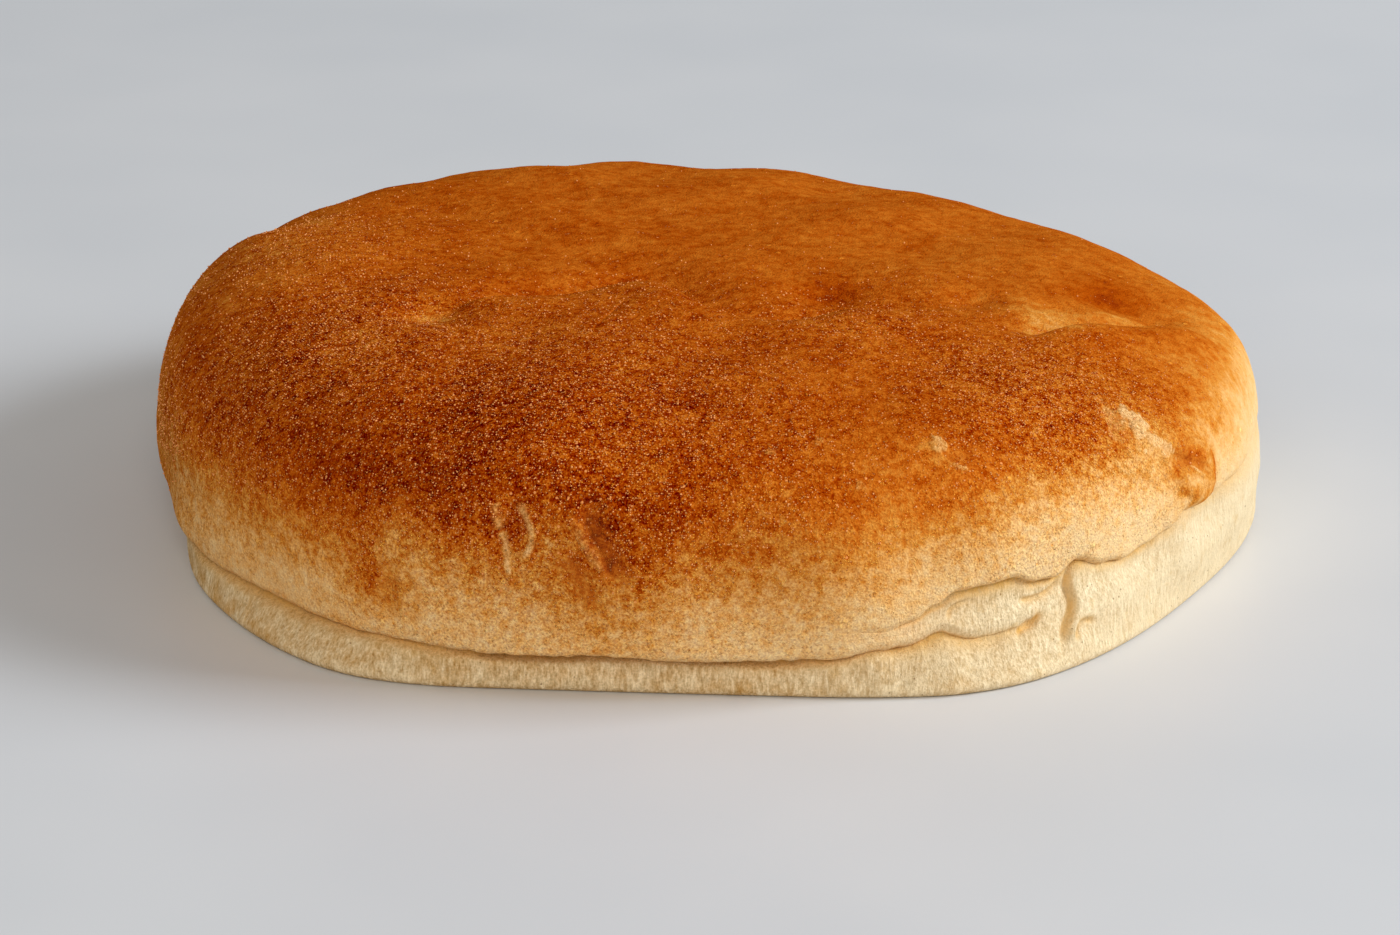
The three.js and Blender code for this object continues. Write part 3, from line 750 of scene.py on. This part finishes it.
def mesh_piece(name, points, faces, shades, finish):
    """A piece from points in millimetres, faces of one size each, and the shades that its finish reads."""
    mesh = bpy.data.meshes.new(name)
    mesh.vertices.add(len(points))
    mesh.vertices.foreach_set("co", (points * MM).astype(np.float32).ravel())
    sizes = np.concatenate([np.full(len(table), table.shape[1]) for table in faces])
    mesh.loops.add(int(sizes.sum()))
    corners = np.concatenate([table.ravel() for table in faces])
    mesh.loops.foreach_set("vertex_index", corners.astype(np.int32))
    mesh.polygons.add(len(sizes))
    mesh.polygons.foreach_set("loop_start", (np.cumsum(sizes) - sizes).astype(np.int32))
    mesh.update(calc_edges=True)
    mesh.polygons.foreach_set("use_smooth", np.ones(len(sizes), bool))
    for shade, values in shades.items():
        mesh.attributes.new(shade, "FLOAT", "POINT").data.foreach_set("value", values.astype(np.float32))
    mesh.materials.append(finish)
    mesh.validate()
    piece = placed(name, mesh)
    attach(piece, "root")
    return piece


SHORTEST = 1e-9    # keeps a normal of no length from being divided by 0


def grid_normals(places):
    """Outward normals of a grid of columns and rows, closed round its columns."""
    around = np.roll(places, -1, axis=0) - np.roll(places, 1, axis=0)
    up = np.empty_like(places)
    up[:, 1:-1] = places[:, 2:] - places[:, :-2]
    up[:, 0] = places[:, 1] - places[:, 0]
    up[:, -1] = places[:, -1] - places[:, -2]
    normals = np.cross(around, up)
    lengths = np.linalg.norm(normals, axis=2, keepdims=True)
    return normals / np.maximum(lengths, SHORTEST)


def loaf_surface():
    """The loaf's places, faces and shades, with the grid of its skin for what lies on it."""
    degrees = column_directions()
    radii, heights, zones = bare_sections(degrees)
    angle = np.radians(degrees)[:, None]
    bare = np.stack([radii * np.cos(angle), radii * np.sin(angle), heights], axis=2)
    normals = grid_normals(bare)
    normals[:, -1] = (0, 0, 1)
    crumb = crumb_share(degrees, heights, zones)
    flat, upward, flat_crumb = bare.reshape(-1, 3), normals[..., 2].ravel(), crumb.ravel()
    rise, creases = (marks.reshape(radii.shape) for marks in skin_marks(flat, upward, flat_crumb))
    rise[:, 0] = 0
    rise[:, -1] = rise[:, -1].mean()
    places = bare + normals * rise[..., None]

    skin = places[:, :-1]
    crown = places[:, -1].mean(axis=0)
    shares = np.arange(1, UNDER_ROWS + 1) / (UNDER_ROWS + 1)
    under = skin[:, :1] * (1 - shares)[None, :, None]
    columns, rows = skin.shape[:2]
    points = np.concatenate([skin.reshape(-1, 3), under.reshape(-1, 3), [crown], [(0, 0, 0)]])
    crown_index, under_index = len(points) - 2, len(points) - 1

    index = np.arange(columns * rows).reshape(columns, rows)
    beside = np.roll(index, -1, axis=0)
    quads = np.stack([index[:, :-1], beside[:, :-1], beside[:, 1:], index[:, 1:]], axis=2).reshape(-1, 4)
    below = np.hstack([index[:, :1], columns * rows + np.arange(columns * UNDER_ROWS).reshape(columns, -1)])
    below_beside = np.roll(below, -1, axis=0)
    under_quads = np.stack([below[:, :-1], below[:, 1:], below_beside[:, 1:], below_beside[:, :-1]],
                           axis=2).reshape(-1, 4)
    top_fan = np.stack([index[:, -1], beside[:, -1], np.full(columns, crown_index)], axis=1)
    under_fan = np.stack([below_beside[:, -1], below[:, -1], np.full(columns, under_index)], axis=1)

    skin_browning = browning(flat, upward, flat_crumb).reshape(radii.shape)
    bare_skin = bare_share(flat).reshape(radii.shape)
    extra = columns * UNDER_ROWS + 2

    def shade(table, under_value, crown_value):
        ends = np.full(extra, under_value)
        ends[-2] = crown_value
        return np.concatenate([table[:, :-1].ravel(), ends])

    shades = {
        "browning": shade(skin_browning, UNDER_BROWNING, skin_browning[:, -1].mean()),
        "crumb": shade(crumb, UNDER_CRUMB, 0.0),
        "bare": shade(bare_skin, 0.0, 0.0),
        # Painted shade of the folds, and of the seams under their lips.
        "crease": shade(np.maximum(creases, painted_seam_shade(degrees, heights, zones)), 0.0, 0.0),
        "dust": shade(dust_and_glint_share(flat).reshape(radii.shape) * mix(1, DUST_IN_CREASES, creases), 0.0, 0.0),
    }
    middle = (points[:, :2].min(axis=0) + points[:, :2].max(axis=0)) / 2
    solid_middle = [(low + high) / 2 / MM for low, high in zip(solid_box[0][:2], solid_box[1][:2])]
    points[:, :2] += solid_middle - middle
    return points, [quads, under_quads, top_fan, under_fan], shades, columns, rows


# ---- Finishes ----

EYE_GAMMA = 2.2    # how the eye sees brightness


def operator(operation, swapped=False):
    """Arithmetic on a wire and a wire or number, as one Math node."""
    def work(wire, other):
        values = (other, wire) if swapped else (wire, other)
        return wire.finish.node("ShaderNodeMath", {"operation": operation}, dict(enumerate(values)))
    return work


class Wire:
    """One output in a finish. Arithmetic on wires adds Math nodes to that finish."""

    __add__, __radd__ = operator("ADD"), operator("ADD", True)
    __sub__, __rsub__ = operator("SUBTRACT"), operator("SUBTRACT", True)
    __mul__, __rmul__ = operator("MULTIPLY"), operator("MULTIPLY", True)

    def __init__(self, finish, socket):
        self.finish = finish
        self.socket = socket


class Finish:
    """A material built from nodes around one Principled shader."""

    def __init__(self, name, **sockets):
        self.material = bpy.data.materials.new(name)
        self.material.use_nodes = True
        self.tree = self.material.node_tree
        self.tree.nodes.clear()
        self.shader = self.node("ShaderNodeBsdfPrincipled", sockets=sockets)
        self.node("ShaderNodeOutputMaterial", sockets={"Surface": self.shader}, output=None)

    def node(self, kind, settings=None, sockets=None, output=0):
        """Adds a node, gives it its settings and then its sockets, and returns one of its outputs."""
        made = self.tree.nodes.new(kind)
        for key, value in (settings or {}).items():
            if key == "stops":
                self.set_stops(made.color_ramp, value)
            else:
                setattr(made, key, value)
        self.connect(made, sockets or {})
        return None if output is None else Wire(self, made.outputs[output])

    def connect(self, made, sockets):
        for key, value in sockets.items():
            if isinstance(value, Wire):
                self.tree.links.new(value.socket, made.inputs[key])
            else:
                made.inputs[key].default_value = value

    def surface(self, **sockets):
        """Feeds the shader's own sockets. An underscore stands for a space."""
        named = {key.replace("_", " "): value for key, value in sockets.items()}
        self.connect(self.shader.socket.node, named)

    @staticmethod
    def set_stops(ramp, stops):
        while len(ramp.elements) < len(stops):
            ramp.elements.new(0.5)
        for element, (position, colour) in zip(ramp.elements, stops):
            element.position = position
            element.color = (*colour, 1)

    def shade(self, name):
        """A shade that the mesh carries at its points."""
        return self.node("ShaderNodeAttribute", {"attribute_name": name}, output="Fac")

    def places(self):
        """Places on the object in millimetres."""
        metres = self.node("ShaderNodeTexCoord", output="Object")
        return self.node("ShaderNodeVectorMath", {"operation": "SCALE"}, {0: metres, "Scale": 1 / MM})

    def noise(self, place, size, detail=2.0, roughness=0.5):
        """Cloudy noise around 0.5, whose clouds are about `size` apart in the units of the place."""
        sockets = {"Vector": place, "Scale": 1 / size, "Detail": detail, "Roughness": roughness}
        return self.node("ShaderNodeTexNoise", sockets=sockets)

    def marks(self, place, kind, cloud):
        """Round marks of one kind, 1 inside and 0 outside, only where a cloud is thick enough."""
        apart, radius, softness, start, full = MARKS[kind]
        sockets = {"Vector": place, "Scale": 1 / apart}
        cells = self.node("ShaderNodeTexVoronoi", sockets=sockets, output="Distance")
        return self.step(cells, radius, radius - softness) * self.step(cloud, start, full)

    def step(self, value, start, end):
        """Eases from 0 at start to 1 at end."""
        if start > end:
            return 1 - self.step(value, end, start)
        sockets = {"Value": value, "From Min": start, "From Max": end}
        return self.node("ShaderNodeMapRange", {"interpolation_type": "SMOOTHSTEP"}, sockets)

    def ramp(self, value, stops):
        return self.node("ShaderNodeValToRGB", {"stops": stops}, {"Fac": value})

    def blend(self, share, colour, other):
        """Mixes two colours, by index because the Mix node names several sockets alike."""
        sockets = {0: share, 6: colour, 7: other}
        return self.node("ShaderNodeMix", {"data_type": "RGBA"}, sockets, output=2)

    def lighter(self, colour, amount, tint=(1, 1, 1)):
        """Lightens a colour by an even step to the eye, or darkens it where the amount is negative."""
        seen = self.node("ShaderNodeGamma", sockets={"Color": colour, "Gamma": 1 / EYE_GAMMA})
        step = self.node("ShaderNodeVectorMath", {"operation": "SCALE"}, {0: tint, "Scale": amount})
        moved = self.node("ShaderNodeVectorMath", {"operation": "ADD"}, {0: seen, 1: step})
        kept = self.node("ShaderNodeVectorMath", {"operation": "MAXIMUM"}, {0: moved, 1: (0, 0, 0)})
        return self.node("ShaderNodeGamma", sockets={"Color": kept, "Gamma": EYE_GAMMA})

    def bump(self, height, distance, **under):
        """Relief of a finish, on top of the relief that is given as its Normal."""
        sockets = {"Height": height, "Distance": distance * MM, "Strength": 1.0, **under}
        return self.node("ShaderNodeBump", sockets=sockets)


# Crust from barely baked to darkest, and pale crumb.
CRUST_STOPS = [
    (0.00, (0.84, 0.57, 0.28)), (0.16, (0.85, 0.50, 0.195)), (0.32, (0.80, 0.39, 0.107)),
    (0.48, (0.70, 0.262, 0.036)), (0.64, (0.61, 0.157, 0.011)), (0.80, (0.45, 0.077, 0.002)),
    (0.94, (0.265, 0.026, 0.001)), (1.00, (0.20, 0.016, 0.0006)),
]
CRUMB_PALE = (0.81, 0.645, 0.40, 1)
CRUMB_TAN = (0.60, 0.345, 0.115, 1)
# Painted shade, tan, in the creases and seams of the crumb.
PAINTED_CREASE_SHADE = (0.69, 0.365, 0.06, 1)
STAIN_TAN = (0.66, 0.40, 0.13, 1)
# Cream of the lighter dots on the crust: partly semolina specks, partly painted glints of tiny blisters.
SPECK_AND_GLINT_CREAM = (0.92, 0.36, 0.11, 1)
# Painted shade, olive brown, in the dents, folds and seams of the crust.
PAINTED_DENT_SHADE = (0.44, 0.20, 0.04, 1)
TORN_STOPS = [(0.0, (0.58, 0.20, 0.02)), (0.45, (0.73, 0.34, 0.075)), (1.0, (0.87, 0.55, 0.25))]
PORE_BROWN = (0.20, 0.09, 0.025, 1)


# Cloudy noise of the skin and of the crumb: size of a cloud, detail and roughness.
SKIN_CLOUDS = {
    "blotch": (9.0, 3.0, 0.55), "mottle": (2.6, 2.0, 0.55), "clumps": (1.6, 2.0, 0.6),
    "grain": (0.95, 2.0, 0.6), "fine": (0.30, 1.0, 0.5),
}
STREAK_CLOUD, CRUMB_CLOUD, STAIN_CLOUD = (0.45, 3.0, 0.65), (3.2, 2.0, 0.5), (2.4, 3.0, 0.65)
STREAK_STRETCH = (1.0, 1.0, 0.24)

# Round marks: distance apart, radius and softness, and the thickness of cloud where they start and are full.
MARKS = {
    "freckles": (1.25, 0.20, 0.12, 0.44, 0.60), "powder_and_glints": (0.42, 0.34, 0.16, 0.62, 0.80),
    "dots": (0.62, 0.25, 0.10, 0.62, 0.80), "buds": (1.5, 0.15, 0.05, 0.62, 0.80),
    "discs": (2.9, 0.17, 0.06, 0.46, 0.60), "pits": (0.55, 0.23, 0.12, 0.66, 0.84),
    "pores": (1.3, 0.13, 0.05, 0.44, 0.60),
}
DUST_CLOUD = 0.4                    # how much thicker dust makes the cloud of a mark

# What moves the tone of the crust, from barely baked to darkest. A pair is for none and for full dust.
TONE_PEAK, TONE_CONTRAST = 0.8, 2.6
BLOTCH_TONE, MOTTLE_TONE, CLUMP_TONE, GRAIN_TONE, FINE_TONE = 0.24, 0.33, 0.10, -0.15, -0.15
CLUMP_EDGES, GRAIN_EDGES = (0.36, 0.64), (0.34, 0.66)
COARSE_BY_DUST, FINE_BY_DUST = (0.7, 1.0), (0.15, 1.0)
# How much darker the painted shade of creases makes the crust's tone.
CREASE_TONE = 0.09
FRECKLE_TONE = (0.22, 0.07)         # on barely baked and on darkest crust

# What lightens the crust or dulls it: painted glints of tiny blisters catching the light, the pale of
# semolina specks, and painted shade in pits.
DARK_EDGES = (0.10, 0.60)           # browning between which the crust turns from pale to dark
MARKS_BY_DARKNESS = (0.2, 1.0)
FINE_GLEAM = (0.05, 0.60)
GRAIN_GLEAM, DISC_GLEAM, POWDER_GLEAM, PIT_GLEAM = 0.05, 0.12, 0.24, -0.20
DARK_DUST_GLEAM, DARK_DUST_DULL = 0.20, 0.078
GLEAM_TINT = (1, 1, 0.50)
# How much of the crust the buds cover, and how much the painted shade of its creases covers.
BUD_COVER, CREASE_COVER = 0.85, 0.15

# What mottles the crumb and the torn skin.
FIBRES, CRUMB_MOTTLE, PALE_EDGES = 1.2, 1.4, (-0.1, 1.1)
STAIN_EDGES, STAIN_COVER, PORE_COVER = (0.56, 0.72), 0.30, 0.75
STREAK_GLEAM, CRUMB_FINE_GLEAM, CRUMB_GLEAM_BY_DUST = 0.5, 0.3, (0.25, 1.45)
# Where the painted shade in the crumb's seams and folds breaks up, and how much of it covers.
SEAM_EDGES, SEAM_COVER = (0.5, 1.2), 0.9
TORN_CLUMPS, TORN_GRAIN, TORN_GLEAM = 0.6, 0.4, 0.5
RAGGED_EDGES, RAGGED_SHARE, TORN_EDGES, TORN_COVER = (0.0, 0.25), 0.6, (0.10, 0.75), 0.8

# Depth of the finest relief, and how much of it the smaller noise and the softer marks have.
SKIN_RELIEF, CRUMB_RELIEF = 0.20, 0.26
FINE_SHARE, SOFT_SHARE, CRUMB_FINE_SHARE = 0.8, 0.6, 0.3


def browned_colour(finish, browned, crease, dust, clouds, marks):
    """Colour of browned skin, whose tone varies most where pale crust turns brown, with painted glints and
    shade.
    """
    blotch, mottle, clumps, grain, fine = clouds
    contrast = 1 + (TONE_PEAK - browned) * browned * TONE_CONTRAST
    coarse_tone = (blotch - 0.5) * BLOTCH_TONE + (mottle - 0.5) * MOTTLE_TONE
    coarse_tone = coarse_tone + (finish.step(clumps, *CLUMP_EDGES) - 0.5) * CLUMP_TONE
    fine_tone = (finish.step(grain, *GRAIN_EDGES) - 0.5) * GRAIN_TONE + (fine - 0.5) * FINE_TONE
    tone = browned + crease * CREASE_TONE + marks["freckles"] * mix(*FRECKLE_TONE, browned)
    mottling = coarse_tone * mix(*COARSE_BY_DUST, dust) + fine_tone * mix(*FINE_BY_DUST, dust)
    tone = tone + contrast * mottling
    colour = finish.ramp(tone, CRUST_STOPS)

    # Lighter dots, most of all on dark crust, are partly the cream of semolina grains and partly painted
    # highlights of tiny blisters catching the light; darker dots are painted shade in pits.
    darkness = finish.step(browned, *DARK_EDGES)
    shown = mix(*MARKS_BY_DARKNESS, darkness)
    gleam = (fine - 0.5) * mix(*FINE_GLEAM, dust) + (grain - 0.5) * GRAIN_GLEAM + marks["discs"] * DISC_GLEAM
    gleam = gleam + darkness * dust * ((grain - 0.5) * DARK_DUST_GLEAM - DARK_DUST_DULL)
    gleam = gleam + (marks["powder_and_glints"] * POWDER_GLEAM + marks["pits"] * PIT_GLEAM) * shown
    colour = finish.lighter(colour, gleam, GLEAM_TINT)
    colour = finish.blend((marks["dots"] + marks["buds"] * BUD_COVER) * shown, colour, SPECK_AND_GLINT_CREAM)
    # Painted shade in the dents, folds and seams of the crust.
    return finish.blend(crease * CREASE_COVER, colour, PAINTED_DENT_SHADE)


def crumb_colour(finish, place, browned, crease, dust, streak, fine):
    """Colour of pale crumb: fibrous, stained tan here and there, with painted tan shade deep in the seams
    and folds.
    """
    cloud = finish.noise(place, *CRUMB_CLOUD)
    fibres = (streak - 0.5) * FIBRES + (cloud - 0.5) * CRUMB_MOTTLE
    paleness = 1 - browned + fibres * (0.5 + browned)
    colour = finish.blend(finish.step(paleness, *PALE_EDGES), CRUMB_TAN, CRUMB_PALE)
    stains = finish.step(finish.noise(place, *STAIN_CLOUD), *STAIN_EDGES)
    colour = finish.blend(stains * STAIN_COVER, colour, STAIN_TAN)
    colour = finish.blend(finish.marks(place, "pores", cloud) * PORE_COVER, colour, PORE_BROWN)
    gleam = (streak - 0.5) * STREAK_GLEAM + (fine - 0.5) * CRUMB_FINE_GLEAM
    colour = finish.lighter(colour, gleam * mix(*CRUMB_GLEAM_BY_DUST, dust))
    # Painted shade, tan, deep in the crumb's seams and folds.
    return finish.blend(crease * finish.step(streak + cloud, *SEAM_EDGES) * SEAM_COVER, colour, PAINTED_CREASE_SHADE)


def torn_colour(finish, bare, colour, clumps, grain, fine):
    """The colour of the skin, with torn skin laid over it where the loaf is bare."""
    torn = finish.ramp(bare + (clumps - 0.5) * TORN_CLUMPS + (grain - 0.5) * TORN_GRAIN, TORN_STOPS)
    torn = finish.lighter(torn, (fine - 0.5) * TORN_GLEAM)
    ragged = bare + (grain + clumps - 1) * finish.step(bare, *RAGGED_EDGES) * RAGGED_SHARE
    return finish.blend(finish.step(ragged, *TORN_EDGES) * TORN_COVER, colour, torn)


def crust_finish():
    finish = Finish("baked_crust", **{"Specular IOR Level": 0.0})
    place = finish.places()
    browned, crumb, bare, crease, dust = (
        finish.shade(name) for name in ("browning", "crumb", "bare", "crease", "dust"))
    clouds = [finish.noise(place, *cloud) for cloud in SKIN_CLOUDS.values()]
    blotch, mottle, clumps, grain, fine = clouds
    thick_blotch, thick_mottle, thick_clumps = (
        cloud + dust * DUST_CLOUD for cloud in (blotch, mottle, clumps))
    kinds = {"freckles": clumps, "powder_and_glints": thick_clumps, "dots": thick_mottle, "buds": thick_clumps,
             "discs": mottle, "pits": thick_blotch}
    marks = {kind: finish.marks(place, kind, cloud) for kind, cloud in kinds.items()}
    streaked = finish.node("ShaderNodeMapping", sockets={"Vector": place, "Scale": STREAK_STRETCH})
    streak = finish.noise(streaked, *STREAK_CLOUD)

    skin = browned_colour(finish, browned, crease, dust, clouds, marks)
    skin = torn_colour(finish, bare, skin, clumps, grain, fine)
    pale = crumb_colour(finish, place, browned, crease, dust, streak, fine)
    soft_marks = marks["powder_and_glints"] + marks["discs"]
    dotted = fine * FINE_SHARE + grain + marks["dots"] + soft_marks * SOFT_SHARE
    under = finish.bump(dotted * (1 - crumb), SKIN_RELIEF)
    finish.surface(
        Base_Color=finish.blend(crumb, skin, pale),
        Roughness=0.6,
        Normal=finish.bump((streak + fine * CRUMB_FINE_SHARE) * crumb, CRUMB_RELIEF, Normal=under),
    )
    return finish.material


def flour_finish():
    finish = Finish("semolina_grain", **{"Base Color": (0.92, 0.40, 0.13, 1), "Specular IOR Level": 0.1})
    return finish.material


TABLE_STOPS = [(0.35, (0.69, 0.70, 0.72)), (0.65, (0.72, 0.725, 0.74))]
TABLE_CLOUD, TABLE_ROUGHNESS, TABLE_UNEVENNESS = 60.0, 0.42, 0.05


def table_finish():
    finish = Finish("pale_table", **{"Specular IOR Level": 0.25})
    cloud = finish.noise(finish.places(), TABLE_CLOUD)
    finish.surface(
        Base_Color=finish.ramp(cloud, TABLE_STOPS),
        Roughness=TABLE_ROUGHNESS + (cloud - 0.5) * TABLE_UNEVENNESS,
    )
    return finish.material


# ---- Loose grains of semolina ----

GRAIN_COUNT = 14000
GRAIN_RADII = (0.05, 0.17)
GRAIN_FINENESS = 2.2               # how much more often a grain is small
GRAIN_STRETCH = (0.7, 1.35)
GRAIN_LIFT = 0.35                  # how far its middle stands above the skin, as a share of its radius
GRAIN_SPARE, GRAIN_GATHER = 0.008, 1.5    # how many lie outside the dust, and how they gather in it
GRAIN_BROWNING = (0.4, 0.7)        # browning between which grains start to lie and are all there
GRAIN_SEED = 77


def semolina_grains(points, shades, columns, rows, finish):
    """Joined octahedral grains, half sunk in the crust, thickest where the dust lies."""
    generator = np.random.default_rng(GRAIN_SEED)
    skin = points[:columns * rows]
    grid = skin.reshape(columns, rows, 3)
    normals = grid_normals(grid).reshape(-1, 3)
    step = np.linalg.norm(np.roll(grid, -1, axis=0) - grid, axis=2).ravel()
    browned, crumb, dust = (shades[name][:columns * rows] for name in ("browning", "crumb", "dust"))
    weight = step * (GRAIN_SPARE + dust ** GRAIN_GATHER) * (1 - crumb) * ease(browned, *GRAIN_BROWNING)
    chosen = generator.choice(len(skin), GRAIN_COUNT, replace=False, p=weight / weight.sum())

    corners = np.array([(1, 0, 0), (0, 1, 0), (-1, 0, 0), (0, -1, 0), (0, 0, 1), (0, 0, -1)], float)
    sides = np.array([(i, (i + 1) % 4, 4) for i in range(4)] + [((i + 1) % 4, i, 5) for i in range(4)])
    sizes = mix(*GRAIN_RADII, generator.random(GRAIN_COUNT) ** GRAIN_FINENESS)
    stretch = mix(*GRAIN_STRETCH, generator.random((GRAIN_COUNT, 1, 3)))
    turns = np.linalg.qr(generator.normal(size=(GRAIN_COUNT, 3, 3)))[0]
    shapes = np.einsum("gij,gcj->gci", turns, corners * stretch * sizes[:, None, None])
    centres = skin[chosen] + normals[chosen] * (GRAIN_LIFT * sizes)[:, None]
    grain_points = (shapes + centres[:, None]).reshape(-1, 3)
    flipped = np.linalg.det(turns) < 0
    faces = np.where(flipped[:, None, None], sides[None, :, ::-1], sides[None])
    faces = (faces + len(corners) * np.arange(GRAIN_COUNT)[:, None, None]).reshape(-1, 3)
    return mesh_piece("semolina_grains", grain_points, [faces], {}, finish)


# ---- Table, light and camera ----

TABLE_SIZE = 3000
VIEW_DISTANCE = 700        # from the camera to the view's middle, which lies this high over the table
VIEW_MIDDLE = (-0.2, -6.15, 15)
VIEW_ELEVATION = 20
PHOTO_SIZE = (1400, 935)   # the photograph's frame in pixels
FOCAL_PIXELS = 4703        # focal length in pixels of that frame
AXIS_PIXEL = (705.2, 419)  # where the level line of sight meets that frame
SENSOR_WIDTH = 36          # the camera's own millimetres, which stay as they are
CLIP_START = 10


def table_top():
    half = TABLE_SIZE / 2
    mesh = bpy.data.meshes.new("table_top")
    corners = [(x * half * MM, y * half * MM, 0) for x, y in ((-1, -1), (1, -1), (1, 1), (-1, 1))]
    mesh.from_pydata(corners, [], [(0, 1, 2, 3)])
    mesh.materials.append(table_finish())
    placed("table_top", mesh)


def aimed(thing, position, target):
    thing.location = Vector(position) * MM
    direction = (Vector(target) - Vector(position)).normalized()
    thing.rotation_euler = direction.to_track_quat("-Z", "Y").to_euler()


def photograph_camera():
    """The camera stands where the photograph's did, turned so that its frame needs no shift."""
    tilt = math.radians(VIEW_ELEVATION)
    forward = Vector((0, math.cos(tilt), -math.sin(tilt)))
    right = Vector((1, 0, 0))
    up = right.cross(forward)
    position = Vector(VIEW_MIDDLE) - forward * VIEW_DISTANCE
    across = (PHOTO_SIZE[0] / 2 - AXIS_PIXEL[0]) / FOCAL_PIXELS
    down = (PHOTO_SIZE[1] / 2 - AXIS_PIXEL[1]) / FOCAL_PIXELS
    data = bpy.data.cameras.new("photograph_camera")
    data.sensor_width = SENSOR_WIDTH
    data.lens = SENSOR_WIDTH * FOCAL_PIXELS / PHOTO_SIZE[0]
    data.clip_start = CLIP_START * MM
    camera = placed("photograph_camera", data)
    aimed(camera, position, position + forward + right * across - up * down)
    bpy.context.scene.camera = camera


# Each lamp: direction, elevation, distance, width, height, watts and colour.
LAMPS = {
    "window_light": (0, 28, 2400, 1100, 900, 57, (0.87, 0.93, 1.0)),
    "front_fill": (262, 35, 2400, 1600, 1200, 24, (1.0, 0.89, 0.73)),
}
LAMP_TARGET = (0, 0, 15)
ROOM_COLOUR = (0.92, 0.96, 1.0, 1)
ROOM_STRENGTH = 0.28


def studio_light():
    for name, (turn, lift, distance, width, height, watts, colour) in LAMPS.items():
        data = bpy.data.lights.new(name, "AREA")
        data.shape = "RECTANGLE"
        data.size = width * MM
        data.size_y = height * MM
        data.energy = watts
        data.color = colour
        turn, lift = math.radians(turn), math.radians(lift)
        reach = Vector((math.cos(lift) * math.cos(turn), math.cos(lift) * math.sin(turn), math.sin(lift)))
        aimed(placed(name, data), reach * distance, LAMP_TARGET)
    world = bpy.data.worlds.new("room_light")
    world.use_nodes = True
    background = world.node_tree.nodes["Background"]
    background.inputs["Color"].default_value = ROOM_COLOUR
    background.inputs["Strength"].default_value = ROOM_STRENGTH
    bpy.context.scene.world = world
    bpy.context.scene.view_settings.view_transform = "Standard"


# ---- The scene ----

photograph_camera()
studio_light()
table_top()

points, faces, shades, columns, rows = loaf_surface()
loaf = mesh_piece("browned_loaf", points, faces, shades, crust_finish())
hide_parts(LOAF)
semolina_grains(points, shades, columns, rows, flour_finish())
